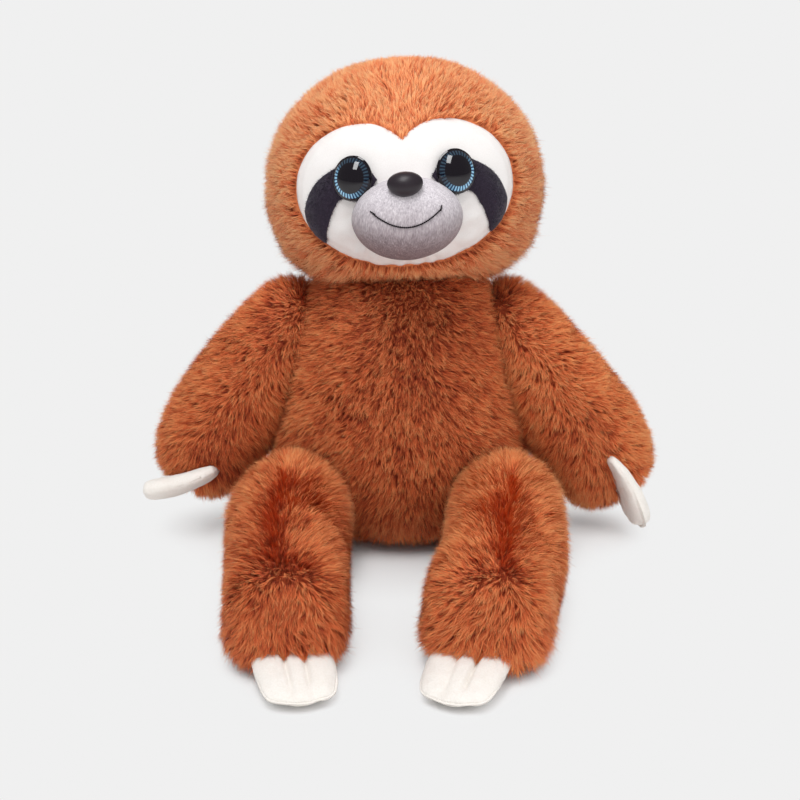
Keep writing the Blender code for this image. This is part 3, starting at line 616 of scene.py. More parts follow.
def grow_pile(name, surface, body, pile, flow, keep, seed, material, avoid=()):
    """Tufts of pile over a surface.

    flow gives each root its way to lie, how far it lies, its length as a share and how much
    lighter it is, as painted light and shade. The strands stay out of each tree in avoid.
    """
    rng = np.random.default_rng(seed)
    places, normals = scatter(surface, pile.gap, rng)
    kept = keep(places, normals)
    places, normals = places[kept], normals[kept]
    count = len(places)
    way, amount, share, shade = flow(places, normals)
    way = unit(way - (way * normals).sum(1)[:, None] * normals)
    cross = np.cross(normals, way)
    yaw = rng.normal(0, 0.36, count) + 1.4 * (value_noise(places, 0.024, seed + 3) - 0.5)
    yaw += 1.5 * (value_noise(places, 0.008, seed + 4) - 0.5)
    way = way * np.cos(yaw)[:, None] + cross * np.sin(yaw)[:, None]
    rise_angle = np.radians(pile.rise) * amount + rng.normal(0, 0.10, count)
    lay_angle = np.radians(pile.lay) * amount + rng.normal(0, 0.16, count)
    rise = normals * np.cos(rise_angle)[:, None] + way * np.sin(rise_angle)[:, None]
    lay = normals * np.cos(lay_angle)[:, None] + way * np.sin(lay_angle)[:, None]
    lay = lay + np.array((0, 0, -pile.droop))
    tuft_length = pile.length * share * (1 + rng.normal(0, 0.05, count))
    # The flow's shade is painted light and shade; the rest of the tone differs at random
    tone = pile.tone + shade + 0.78 * (rng.random(count) - 0.5)
    tone += 0.36 * (value_noise(places, 0.0045, seed + 5) - 0.5)
    tone += 0.14 * (value_noise(places, 0.026, seed + 9) - 0.5)
    tone -= 0.16 * smoothstep(0.62, 0.85, value_noise(places, 0.010, seed + 7))

    index = np.repeat(np.arange(count), pile.strands)
    total = len(index)
    angle = rng.random(total) * TAU
    reach = pile.radius * np.sqrt(rng.random(total))
    n, w = normals[index], way[index]
    c = np.cross(n, w)
    offset = w * (np.cos(angle) * reach)[:, None] + c * (np.sin(angle) * reach)[:, None]
    roots = places[index] + offset
    bend = rng.normal(0, 0.11, (total, 3))
    clump = rng.uniform(*pile.clump, total)
    loose = rng.random(total) < 0.10
    clump[loose] = 0
    bend[loose] *= 1.6
    length = tuft_length[index] * (1.04 - 0.26 * rng.random(total) ** 1.7)
    tuft_root, tuft_rise, tuft_lay = places[index], rise[index], lay[index]

    def clump_line(s):
        path = (s - s * s / 2) * tuft_rise + (s * s / 2) * tuft_lay
        return tuft_root + path * length[:, None]

    points = strand_points(roots, tuft_rise, tuft_lay, length, bend, clump_line, clump)
    for tree, low, high, margin in avoid:
        for level in range(1, LEVELS + 1):
            inside = ((points[level] > low) & (points[level] < high)).all(1)
            chosen = points[level][inside]
            push_out(chosen, tree, margin)
            points[level][inside] = chosen
    tone = np.clip(tone[index] + rng.normal(0, 0.16, total), 0.01, 0.99)
    width = pile.width * rng.uniform(0.75, 1.25, total)
    order = np.arange(total)
    if total > MOST_STRANDS:
        order = np.argsort(np.arctan2(roots[:, 0], -roots[:, 1]), kind="stable")
    for number, chosen in enumerate(np.array_split(order, math.ceil(total / MOST_STRANDS))):
        title = f"{name}_{number + 1}"
        mesh = strand_mesh(title, points[:, chosen], n[chosen], width[chosen], tone[chosen], rng)
        mesh.materials.append(material)
        piece = link(bpy.data.objects.new(title, mesh))
        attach(piece, body)


def add_piece(name, mesh, body, material, node=None):
    mesh.name = name
    mesh.materials.clear()
    mesh.materials.append(material)
    piece = link(bpy.data.objects.new(name, mesh))
    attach(piece, body)
    if node:
        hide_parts(node)
    return piece


# Outlines on the face
def inside_outline(points, outline):
    """Which points (across, up) lie inside a closed outline."""
    x, y = points[:, 0], points[:, 1]
    inside = np.zeros(len(points), bool)
    for (x0, y0), (x1, y1) in zip(outline, np.roll(outline, -1, 0)):
        crosses = (y0 > y) != (y1 > y)
        with np.errstate(divide="ignore", invalid="ignore"):
            at = (x1 - x0) * (y - y0) / (y1 - y0) + x0
        inside ^= crosses & (x < at)
    return inside


def outline_distance(points, outline):
    """How far each point (across, up) lies from a closed outline."""
    best = np.full(len(points), np.inf)
    for a, b in zip(outline, np.roll(outline, -1, 0)):
        run = b - a
        share = np.clip(((points - a) @ run) / (run @ run), 0, 1)
        best = np.minimum(best, np.linalg.norm(points - a - share[:, None] * run, axis=1))
    return best


def bezier_outline(points):
    """The smooth closed outline through the points, with a corner at the first of them."""
    curve = bpy.data.curves.new("outline", "CURVE")
    curve.dimensions = "2D"
    spline = curve.splines.new("BEZIER")
    spline.bezier_points.add(len(points) - 1)
    spline.use_cyclic_u = True
    for index, (node, (x, y)) in enumerate(zip(spline.bezier_points, points)):
        node.co = (x, y, 0)
        node.handle_left_type = node.handle_right_type = "AUTO" if index else "VECTOR"
    thing = link(bpy.data.objects.new("outline", curve))
    mesh = evaluated_mesh(thing)
    bpy.data.objects.remove(thing)
    ring = coordinates(mesh)[:, :2]
    bpy.data.meshes.remove(mesh)
    apart = np.linalg.norm(ring - np.roll(ring, 1, 0), axis=1) > 1e-6
    return ring[apart]


def face_points():
    half = [(0, FACE_PEAK * FACE_TOP)]
    half += [(x * FACE_HALF_WIDTH, y * FACE_TOP) for x, y in FACE_UPPER]
    half += [(x * FACE_HALF_WIDTH, -y * FACE_DROP) for x, y in FACE_LOWER]
    return half + [(-x, y) for x, y in reversed(half[1:-1])]


def outward(outline, amount):
    """The outline moved out along its own normals."""
    ahead = unit(np.roll(outline, -1, 0) - np.roll(outline, 1, 0))
    normals = np.stack((ahead[:, 1], -ahead[:, 0]), 1)
    middle = outline.mean(0)
    if ((outline - middle) * normals).sum() < 0:
        normals = -normals
    return outline + normals * amount


FACE_OUTLINE = bezier_outline(face_points())


def patch_outline(sign):
    points = [(sign * x * FACE_HALF_WIDTH, y * FACE_DROP) for x, y in PATCH_POINTS]
    return bezier_outline(points)


def surface_sheet(name, outline, spacing, tree, lift, thickness):
    """A sheet cut to an outline in the head's own X and Z and laid on a surface there.

    lift gives each point's height over the surface. With no spacing, the sheet has no points
    within its outline.
    """
    flat = [Vector(p) for p in outline]
    if spacing:
        low, high = outline.min(0), outline.max(0)
        grid = []
        for number, up in enumerate(np.arange(low[1], high[1], spacing)):
            start = low[0] + (number % 2) * spacing / 2
            grid += [(across, up) for across in np.arange(start, high[0], spacing)]
        grid = np.array(grid)
        grid = grid[inside_outline(grid, outline)]
        flat += [Vector(p) for p in grid[outline_distance(grid, outline) > spacing * 0.6]]
    count = len(outline)
    edges = [(i, (i + 1) % count) for i in range(count)]
    verts, _, faces, *_ = delaunay_2d_cdt(flat, edges, [], 1, 1e-7)
    verts = np.array([tuple(v) for v in verts])
    heights = lift(verts)
    co = []
    for (across, up), height in zip(verts, heights):
        where, normal, _, _ = tree.ray_cast(Vector((across, -0.2, up)), Vector((0, 1, 0)))
        co.append(where + normal * height)
    mesh = mesh_of(name, co, [tuple(face) for face in faces])
    if sum(face.normal.y * face.area for face in mesh.polygons) > 0:
        mesh.flip_normals()
    mesh = applied(mesh, ("SOLIDIFY", {"thickness": thickness, "offset": -1.0}))
    mesh.transform(HEAD)
    mesh.update()
    mesh.shade_smooth()
    return mesh


# Stuffed body
INSET = 0.0066
LIMB_INSETS = {"arm": 0.0040, "leg": 0.0056}
LEG_SKIN_RINGS = ((0.02, 0.84, 0.84), (0.22, 1.00, 1.00), (0.84, 1.00, 1.00), (0.985, 0.97, 0.97))
LIMBS = {"arm": (ARMS, SHOULDER, ARM_RADIUS, ARM_ROOT, ARM_RINGS),
         "leg": (LEGS, HIP, LEG_RADIUS, LEG_ROOT, LEG_SKIN_RINGS)}
ARM_SWELL_AT = (-0.2, 0.2, 0.55, 0.85, 1.3)
ARM_SWELLS = (-0.0020, -0.0010, 0.0015, 0.0045, 0.0045)
ARM_OUTWARD = (0.85, 0, 0.53)
ARM_SHORT = {"left": 0.0065, "right": 0.0030}
ARM_FULL = {"left": 1.25, "right": 0.70}
LEG_WIDTH_AT = (0.0, 0.2, 0.6, 1.0)
LEG_OUTER = {"left": (1.00, 1.02, 1.12, 0.89), "right": (1.00, 1.13, 1.02, 0.93)}
LEG_INNER = {"left": (1.00, 0.92, 0.84, 1.08), "right": (1.00, 0.97, 0.90, 0.93)}
CREASE = 0.0030
LEG_SPREAD = 0.65
HIP_SOCKET, HIP_BALL = HIP_RADIUS - 0.003, HIP_RADIUS - 0.0065


def shoulder_reach(co):
    return np.hypot(co[:, 1] - SHOULDER.y, co[:, 2] - SHOULDER.z)


def flank_seat(co):
    """How far out the arms' seats lie at each point."""
    reach = shoulder_reach(co)
    past = np.maximum(reach - FLANK_WAIST_REACH, 0)
    return FLANK_HALF_WIDTH + FLANK_SLOPE * (reach - past) + FLANK_FLARE * past


def crease(co):
    """How far the skins stay from the arms' seats: they close up round the shoulders."""
    return CREASE * smoothstep(0.008, 0.050, shoulder_reach(co)) + 0.0003


def torso_skin():
    """The pear, drawn in by the pile, with seats for the arms and the hips."""
    grow = Vector((INSET,) * 3)
    low, high = TORSO_LOW + grow, TORSO_HIGH - grow
    low.z = 0.003
    mesh = smooth_form("torso_skin", TORSO_RINGS, low, high, SOFT_SIDES, 4, Matrix())
    co = coordinates(mesh)
    limit = flank_seat(co) - crease(co)
    co[:, 0] = np.clip(co[:, 0], -limit, limit)
    for _, sign in SIDES:
        hip = np.array((sign * HIP.x, HIP.y, HIP.z))
        inward = np.array((-sign * 0.75, 1.0, 0.35))
        inward /= np.linalg.norm(inward)
        away = co - hip
        inside = (away ** 2).sum(1) < HIP_SOCKET ** 2
        along = away @ inward
        rest = (away ** 2).sum(1) - along ** 2
        travel = np.sqrt(np.maximum(HIP_SOCKET ** 2 - rest, 0)) - along
        co[inside] += travel[inside, None] * inward
    set_coordinates(mesh, co)
    return mesh


def limb_skin(kind, side, sign):
    """An arm or a leg, drawn in by its pile."""
    table, base, radius, reach, rings = LIMBS[kind]
    length, aim = table[side]
    root = Vector((sign * base.x, base.y, base.z))
    along = Vector(aim).normalized()
    inset = LIMB_INSETS[kind]
    low = Vector((-radius, -radius, -reach)) + Vector((inset,) * 3)
    high = Vector((radius, radius, length + radius)) - Vector((inset,) * 3)
    if kind == "arm":
        high.z -= ARM_SHORT[side]
    mesh = smooth_form(f"{kind}_skin_{side}", rings, low, high, LIMB_SIDES, 4,
                       frame_of(root, along, (0, 0, 1)))
    co = coordinates(mesh)
    root, along = np.array(root), np.array(along)
    part = (co - root) @ along / length
    if kind == "arm":
        outer = np.array(ARM_OUTWARD) * (sign, 1, 1)
        offset = (co - root) @ outer / radius
        swell = np.interp(part, ARM_SWELL_AT, ARM_SWELLS) * smoothstep(-0.4, 0.8, offset)
        co += outer * (ARM_FULL[side] * swell)[:, None]
        co[:, 0] = sign * np.maximum(sign * co[:, 0], flank_seat(co) + crease(co))
    else:
        low = np.clip(1 - co[:, 2] / radius, 0, 1) ** 2 * smoothstep(0.35, 0.85, part)
        middle = root[0] + (root[1] - co[:, 1]) * along[0]
        limit = radius - inset
        wide = sign * np.clip((co[:, 0] - middle) * (1 + LEG_SPREAD * low), -limit, limit)
        share = np.where(wide > 0, np.interp(part, LEG_WIDTH_AT, LEG_OUTER[side]),
                         np.interp(part, LEG_WIDTH_AT, LEG_INNER[side]))
        co[:, 0] = middle + sign * wide * share
        away = co - root
        far = np.maximum(np.linalg.norm(away, axis=1), 1e-6)
        scale = np.where(away @ along < 0, np.minimum(1, HIP_BALL / far), 1)
        co = root + away * scale[:, None]
    set_coordinates(mesh, co)
    return mesh, (root, along, length)


skins = {"torso": add_piece("torso_skin", torso_skin(), "body", SKIN, "torso"),
         "head": add_piece("head_skin", head_form("head_skin", INSET + 0.0005, HEAD), "body",
                           HEAD_SKIN, "head")}
limb_axes = {}
for side, sign in SIDES:
    for kind in ("arm", "leg"):
        mesh, limb_axes[f"{kind}_{side}"] = limb_skin(kind, side, sign)
        skins[f"{kind}_{side}"] = add_piece(f"{kind}_skin_{side}", mesh, f"{side}_{kind}", SKIN,
                                            f"{kind}_{side}")


def depth_inside(tree, points):
    """How far each point lies under a closed surface, and less than nothing outside it."""
    result = np.zeros(len(points))
    for i, point in enumerate(points):
        where, normal, _, distance = tree.find_nearest(Vector(point))
        result[i] = -math.copysign(distance, (Vector(point) - where).dot(normal))
    return result


torso_tree, head_tree = tree_of(skins["torso"].data), tree_of(skins["head"].data)

# Claws
SEAM_HALF_WIDTH, SEAM_HALF_THICK, SEAM_APART = 0.0008, 0.00032, 0.00036
WEB_HALF_THICK = 0.0014
HAND_RINGS = {"left": ((0.03, 0.62, 0.46), (0.40, 0.96, 0.72), (0.955, 0.98, 1.00)),
              "right": ((0.03, 0.62, 0.56), (0.40, 0.96, 0.84), (0.955, 0.98, 0.96))}
GROOVES = {"left": (0.24, 0.52), "right": (0.38, 0.38)}
FRAYS = {"hand_claws_left": 0.0016, "hand_claws_right": -0.0003, "foot_claws_left": 0.0007,
         "foot_claws_right": 0.0007}
CLAW_VOXEL = 0.0007


def convex_hull(points):
    """The corners of the smallest convex outline round the points, anticlockwise."""
    points = sorted(map(tuple, points))
    chains = []
    for run in (points, points[::-1]):
        chain = []
        for p in run:
            while len(chain) > 1:
                (ax, ay), (bx, by) = chain[-2], chain[-1]
                if (bx - ax) * (p[1] - ay) - (by - ay) * (p[0] - ax) > 0:
                    break
                chain.pop()
            chain.append(p)
        chains.append(chain[:-1])
    return np.array(chains[0] + chains[1])


def resampled(path, spacing):
    """Points along an open path, an even distance apart."""
    run = np.concatenate(([0], np.cumsum(np.linalg.norm(np.diff(path, axis=0), axis=1))))
    at = np.linspace(0, run[-1], max(2, int(run[-1] / spacing)))
    return np.stack([np.interp(at, run, path[:, axis]) for axis in range(path.shape[1])], 1)


def swept(name, centres, wides, thicks, sides=6):
    """A closed strip along a path: at each point, half its width and half its thickness."""
    rings = []
    for side in range(sides):
        angle = TAU * side / sides
        rings.append(centres + wides * math.cos(angle) + thicks * math.sin(angle))
    co = np.stack(rings, 1).reshape(-1, 3)
    faces = []
    for i in range(len(centres) - 1):
        for j in range(sides):
            k = (j + 1) % sides
            faces.append((i * sides + j, i * sides + k, (i + 1) * sides + k, (i + 1) * sides + j))
    faces.append(tuple(range(sides))[::-1])
    faces.append(tuple((len(centres) - 1) * sides + j for j in range(sides)))
    return mesh_of(name, co, faces)


def bend_down(co, length, bend):
    """Bows the mitt down along an arc as it goes out from its root."""
    turn = bend / length
    angle = co[:, 2] * turn
    height = co[:, 1] + 1 / turn
    return np.stack((co[:, 0], height * np.cos(angle) - 1 / turn, height * np.sin(angle)), 1)


def web_plate(name, outline):
    """The cloth between the fingers and out to their common edge."""
    count = len(outline)
    co = [(across, level * WEB_HALF_THICK, along) for level in (-1, 1) for across, along in outline]
    faces = [tuple(range(count)), tuple(range(2 * count - 1, count - 1, -1))]
    faces += [(i, i + count, (i + 1) % count + count, (i + 1) % count) for i in range(count)]
    return mesh_of(name, co, faces)


def claw_mitt(name, rings, length, bend, grooves, fray, matrix, seed):
    """Three padded fingers sewn side by side, with the raw seam round their edge."""
    fingers = []
    for order in (0, -1, 1):
        reach = length * (1 - FINGER_DROP * abs(order))
        low = Vector((-FINGER_HALF_WIDTH, -FINGER_HALF_THICK, 0))
        high = Vector((FINGER_HALF_WIDTH, FINGER_HALF_THICK, reach))
        turned = Matrix.Translation((order * FINGER_PITCH, 0, 0))
        turned = turned @ Matrix.Rotation(-order * FINGER_TAPER, 4, "Y")
        fingers.append(smooth_form(name, rings, low, high, FINGER_SIDES, 3, turned))
    body = joined(name, fingers)
    hull = convex_hull(coordinates(body)[:, (0, 2)])
    body = joined(name, [body, web_plate(name, hull)])
    body = applied(body, ("REMESH", {"mode": "VOXEL", "voxel_size": CLAW_VOXEL}),
                   ("SMOOTH", {"factor": 0.5, "iterations": 9}))
    co = coordinates(body)
    groove = np.zeros(len(co))
    for order, depth in zip((-0.5, 0.5), grooves):
        middle = order * (FINGER_PITCH - co[:, 2] * math.sin(FINGER_TAPER))
        groove += depth * np.exp(-((co[:, 0] - middle) / 0.0013) ** 2)
    fade = 1 - smoothstep(0.72 * length, 0.98 * length, co[:, 2])
    co[:, 1] *= 1 - groove * fade
    wrinkle = value_noise(co, 0.004, seed) - 0.5
    co += vertex_normals(body) * (wrinkle * 0.0007)[:, None]
    set_coordinates(body, co)

    start = int(np.argmin(hull[:, 1]))
    loop = np.roll(hull, -start, 0)
    path = resampled(loop[loop[:, 1] > 0.16 * length], 0.0010)
    for _ in range(6):
        path[1:-1] = path[1:-1] * 0.5 + (path[:-2] + path[2:]) * 0.25
    ahead = unit(np.gradient(path, axis=0))
    out = np.stack((ahead[:, 1], 0 * ahead[:, 0], -ahead[:, 0]), 1)
    middle = np.stack((path[:, 0], 0 * path[:, 0], path[:, 1]), 1)
    layers = []
    for layer in (-1, 1):
        wave = value_noise(middle, 0.0035, seed + layer) - 0.5
        tip = smoothstep(0.55 * length, 0.92 * length, path[:, 1])
        reach = -0.0007 + fray * tip + 0.0006 * wave + (0.0002 if layer > 0 else 0)
        rise = layer * SEAM_APART + 0.0003 * (value_noise(middle, 0.006, seed + 4) - 0.5)
        centre = middle + out * reach[:, None] + np.array((0, 1, 0)) * rise[:, None]
        layers.append(swept(name, centre, out * SEAM_HALF_WIDTH,
                            np.tile((0, SEAM_HALF_THICK, 0), (len(path), 1))))
    mesh = joined(name, [body] + layers)
    set_coordinates(mesh, bend_down(coordinates(mesh), length, bend))
    mesh.transform(matrix)
    co = coordinates(mesh)
    co[:, 2] = np.maximum(co[:, 2], 0.0002)
    set_coordinates(mesh, co)
    mesh.shade_smooth()
    return mesh


claws = {}
for number, (side, sign) in enumerate(SIDES):
    for kind, limb, radius, table, length, bend, rings in (
            ("hand", "arm", ARM_RADIUS, HAND_CLAWS, HAND_CLAW_LENGTH, HAND_CLAW_BEND, HAND_RINGS),
            ("foot", "leg", LEG_RADIUS, FOOT_CLAWS, FOOT_CLAW_LENGTH, FOOT_CLAW_BEND, {})):
        root, along, reach = limb_axes[f"{limb}_{side}"]
        spot, aim, up = table[side]
        end = Vector(root + along * reach)
        matrix = frame_of(end + Vector(spot) * radius, aim, up)
        name = f"{kind}_claws_{side}"
        mesh = claw_mitt(f"{name}_mitt", rings.get(side, FINGER_RINGS), length, bend,
                         GROOVES[side], FRAYS[name], matrix, 60 + number)
        claws[name] = add_piece(f"{name}_mitt", mesh, f"{side}_{limb}", CLAW_PLUSH,
                                name)

# Face
panel_tree = tree_of(head_form("panel_floor", FACE_SINK, Matrix()))


def panel_lift(points):
    """The panel sinks into its seam, puckers there, and creases round the muzzle."""
    edge = outline_distance(points, FACE_OUTLINE)
    height = -0.0016 * (1 - smoothstep(0.0, 0.0055, edge))
    spots = np.stack((points[:, 0], 0 * points[:, 0], points[:, 1]), 1)
    around = np.arctan2(points[:, 1] + MUZZLE_DROP, points[:, 0])
    drift = value_noise(spots, 0.009, 71)
    low = smoothstep(0.0, -0.02, points[:, 1] + 0.012)
    pucker = np.sin(around * 74 + drift * 9)
    height += 0.00010 * pucker * np.exp(-(edge / 0.004) ** 2) * (0.35 + 0.65 * low)
    ring = np.hypot(points[:, 0] / MUZZLE_HALF.x, (points[:, 1] + MUZZLE_DROP) / MUZZLE_HALF.y)
    crease = np.sin(around * 17 + drift * 5)
    height += 0.00055 * crease * np.exp(-((ring - 1.16) / 0.26) ** 2) * low
    return height + 0.0005 * (value_noise(spots, 0.013, 73) - 0.5)


panel = surface_sheet("face_panel_cloth", outward(FACE_OUTLINE, 0.0003), 0.0011, panel_tree,
                      panel_lift, PANEL_THICKNESS)
add_piece("face_panel_cloth", panel, "body", FACE_PLUSH, "face_panel")


def patch_lift(points):
    return panel_lift(points) + PATCH_THICKNESS + 0.0003


patch_tops = {}
for side, sign in SIDES:
    outline = patch_outline(sign)
    outside = ~inside_outline(outline, outward(FACE_OUTLINE, -0.0002))
    for index in np.where(outside)[0]:
        near = FACE_OUTLINE[np.argmin(np.linalg.norm(FACE_OUTLINE - outline[index], axis=1))]
        outline[index] = near * 0.995
    mesh = surface_sheet(f"eye_patch_cloth_{side}", outline, None, panel_tree, patch_lift,
                         PATCH_THICKNESS)
    patch_tops[side] = add_piece(f"eye_patch_cloth_{side}", mesh, "body", PATCH_PLUSH,
                                 f"eye_patch_{side}")

MUZZLE_FRAME = frame_of(Vector((0, MUZZLE_HALF.z - MUZZLE_REACH, -MUZZLE_DROP)), (0, -1, 0),
                        (0, 0, 1))
muzzle = smooth_form("muzzle_cloth", MUZZLE_RINGS, -MUZZLE_HALF, MUZZLE_HALF, SOFT_SIDES, 4,
                     MUZZLE_FRAME)
co = coordinates(muzzle)
co += vertex_normals(muzzle) * (0.0006 * (value_noise(co, 0.012, 81) - 0.5))[:, None]
set_coordinates(muzzle, co)
muzzle_tree = tree_of(muzzle)
muzzle.transform(HEAD)
muzzle.update()
add_piece("muzzle_cloth", muzzle, "body", MUZZLE_PLUSH, "muzzle")


def seat_on(tree, across, up, lift=0.0):
    """Where a line towards the head's own back meets a surface, in the head's frame."""
    aim = Vector((0, -math.cos(lift), math.sin(lift)))
    start = Vector((across, -MUZZLE_REACH, up)) + aim * 0.02
    where, normal, _, _ = tree.ray_cast(start, -aim)
    return where, normal


MOUTH_STEPS = 90
PLY_RADIUS, PLY_TURN, PLY_SIDES = 0.00027, 0.0022, 8
TICK_STEPS = 9
MOUTH_TICKS = ((-1, (-0.0012, 0.0014)), (1, (0.0004, 0.0024)))


def sewn_thread(spots, lift):
    """Two plies wound round a line of points (across, up) on the muzzle."""
    path, normals = [], []
    for across, up in spots:
        where, normal = seat_on(muzzle_tree, across, up)
        path.append(where + normal * lift)
        normals.append(normal)
    path, normals = np.array(path), np.array(normals)
    run = np.concatenate(([0], np.cumsum(np.linalg.norm(np.diff(path, axis=0), axis=1))))
    side = unit(np.cross(unit(np.gradient(path, axis=0)), normals))
    plies = []
    for phase in (0, math.pi):
        turn = run / PLY_TURN * TAU + phase
        offset = side * np.cos(turn)[:, None] + normals * np.sin(turn)[:, None]
        plies.append(swept("ply", path + offset * PLY_RADIUS * 0.8, side * PLY_RADIUS,
                           normals * PLY_RADIUS, PLY_SIDES))
    return joined("thread", plies)


def mouth_mesh():
    """The smile, from corner to corner, with a short stitch across each end."""
    shares = [2 * step / (MOUTH_STEPS - 1) - 1 for step in range(MOUTH_STEPS)]
    smile = [(share * MOUTH_HALF_WIDTH, -MOUTH_CORNER_DROP - MOUTH_SAG * (1 - share ** 2))
             for share in shares]
    parts = [sewn_thread(smile, THREAD_RADIUS * 0.7)]
    shares = [2 * step / (TICK_STEPS - 1) - 1 for step in range(TICK_STEPS)]
    for end, (across, rise) in MOUTH_TICKS:
        tick = [(end * MOUTH_HALF_WIDTH + across * share,
                 -MOUTH_CORNER_DROP + rise * share * 0.6 + 0.0004) for share in shares]
        parts.append(sewn_thread(tick, THREAD_RADIUS))
    mesh = joined("mouth", parts)
    mesh.transform(HEAD)
    mesh.update()
    mesh.shade_smooth()
    return mesh


add_piece("mouth_thread", mouth_mesh(), "body", THREAD, "mouth_stitch")

# Eyes and nose
TURN_STEPS = 72


def lathe(name, profile, widen=1.0, widened=0):
    """A turned piece from the middle of its top down to its post.

    The map runs round it, and along the profile. The first rows may be wider across.
    """
    profile = np.array(profile)
    steps = np.arange(TURN_STEPS) / TURN_STEPS * TAU
    co, rows = [], []
    for number, (radius, along) in enumerate(profile):
        wide = widen if number < widened else 1.0
        if radius == 0:
            rows.append([len(co)])
            co.append((0, 0, along))
            continue
        rows.append(list(range(len(co), len(co) + TURN_STEPS)))
        co += [(radius * wide * math.cos(a), radius * math.sin(a), along) for a in steps]
    run = np.concatenate(([0], np.cumsum(np.linalg.norm(np.diff(profile, axis=0), axis=1))))
    run /= run[-1]
    faces, uv = [], []
    for upper, lower, high, low in zip(rows, rows[1:], run, run[1:]):
        for step in range(TURN_STEPS):
            after = (step + 1) % TURN_STEPS
            a, b = step / TURN_STEPS, (step + 1) / TURN_STEPS
            above = [(upper[-1], (a + b) / 2, high)]
            below = [(lower[-1], (a + b) / 2, low)]
            if len(upper) > 1:
                above = [(upper[after], b, high), (upper[step], a, high)]
            if len(lower) > 1:
                below = [(lower[step], a, low), (lower[after], b, low)]
            faces.append(tuple(corner[0] for corner in above + below))
            uv += [corner[1:] for corner in above + below]
    mesh = mesh_of(name, co, faces)
    layer = mesh.uv_layers.new(name="OFBake")
    layer.data.foreach_set("uv", np.array(uv, np.float32).ravel())
    mesh.shade_smooth()
    mesh.set_sharp_from_angle(angle=math.radians(42))
    return mesh


def eye_profile():
    """A domed eye with a rounded rim, flat at the back, on its post."""
    rise = EYE_HEIGHT - EYE_RIM
    ball = (EYE_RADIUS ** 2 + rise ** 2) / (2 * rise)
    edge = math.asin(EYE_RADIUS / ball)
    dome = [(ball * math.sin(edge * i / 26), EYE_HEIGHT - ball + ball * math.cos(edge * i / 26))
            for i in range(26)]
    rim = [(EYE_RADIUS + 0.0003 * math.sin(a), EYE_RIM + 0.0003 * math.cos(a))
           for a in (0.6, 1.1, 1.57)]
    return dome + rim + [(EYE_RADIUS, 0), (POST_RADIUS, 0), (POST_RADIUS, -POST_LENGTH),
                         (0, -POST_LENGTH)], len(dome)


EYE_RING = (0.68, 0.93)
patch_tree = tree_of(head_form("patch_floor", FACE_SINK - GAP - PATCH_THICKNESS, Matrix()))
for side, sign in SIDES:
    where, normal = seat_on(patch_tree, sign * EYE_SPREAD, -EYE_DROP)
    normal = (HEAD.to_3x3() @ normal).normalized()
    matrix = frame_of(HEAD @ where + normal * GAP, normal, (0, 0, 1))
    profile, dome_rows = eye_profile()
    mesh = lathe(f"eye_dome_{side}", profile)
    mesh.transform(Matrix.Diagonal((0.95, 1.04, 1.0, 1.0)))
    run = np.concatenate(([0], np.cumsum(np.linalg.norm(np.diff(profile, axis=0), axis=1))))
    radii = [radius for radius, _ in profile[:dome_rows]]
    ring = [float(np.interp(share * EYE_RADIUS, radii, run[:dome_rows]) / run[-1])
            for share in EYE_RING]
    mesh.transform(matrix)
    mesh.update()
    bright_angle = -0.14 if sign > 0 else -0.36
    add_piece(f"eye_dome_{side}", mesh, "body", eye_material(f"eye_{side}", bright_angle, ring),
              f"eye_{side}")


def nose_mesh():
    """A rounded button, a little narrower below, on its post."""
    rows = 26
    button = []
    for i in range(rows):
        angle = math.pi * i / rows * 0.94
        button.append((NOSE_HALF.y * math.sin(angle), NOSE_HALF.z * (1 + math.cos(angle))))
    profile = button + [(POST_RADIUS, 0), (POST_RADIUS, -POST_LENGTH), (0, -POST_LENGTH)]
    mesh = lathe("nose_button", profile, NOSE_HALF.x / NOSE_HALF.y, rows)
    co = coordinates(mesh)
    share = np.clip(co[:, 1] / NOSE_HALF.y, -1, 1)
    shaped = co[:, 2] > 0
    co[shaped, 0] *= 1 + 0.09 * share[shaped]
    set_coordinates(mesh, co)
    where, _ = seat_on(muzzle_tree, 0, -NOSE_DROP, NOSE_LIFT)
    axis = Vector((0, -math.cos(NOSE_LIFT), math.sin(NOSE_LIFT)))
    mesh.transform(HEAD @ frame_of(where - axis * NOSE_SEAT, axis, (0, 0, 1)))
    mesh.update()
    return mesh


add_piece("nose_button", nose_mesh(), "body", NOSE_PLASTIC, "nose")
for washer in ("eye_washer_left", "eye_washer_right", "nose_washer"):
    for slot in bpy.data.objects[washer].material_slots:
        slot.material = WASHER_PLASTIC

# Pile
PARTING = 0.006


def torso_flow(places, normals):
    aside = np.clip((places[:, 0] - PARTING) / 0.055, -1, 1)
    way = np.stack((0.8 * aside, np.zeros(len(places)), np.full(len(places), -1.0)), 1)
    front = smoothstep(0.0, 0.03, -places[:, 1])
    # Painted shade: the pile is darker along the parting and lighter towards the sides
    shade = 0.14 * smoothstep(0.025, 0.070, np.abs(places[:, 0] - PARTING)) - 0.04
    return way, 1.0 - 0.24 * front, np.ones(len(places)), shade


def torso_keep(places, normals):
    kept = places[:, 2] > 0.0110
    index = np.where(places[:, 2] > 0.125)[0]
    kept[index[depth_inside(head_tree, places[index]) > 0.002]] = False
    for _, sign in SIDES:
        hip = np.array((sign * HIP.x, HIP.y, HIP.z))
        kept &= np.linalg.norm(places - hip, axis=1) > HIP_SOCKET + 0.0006
    return kept


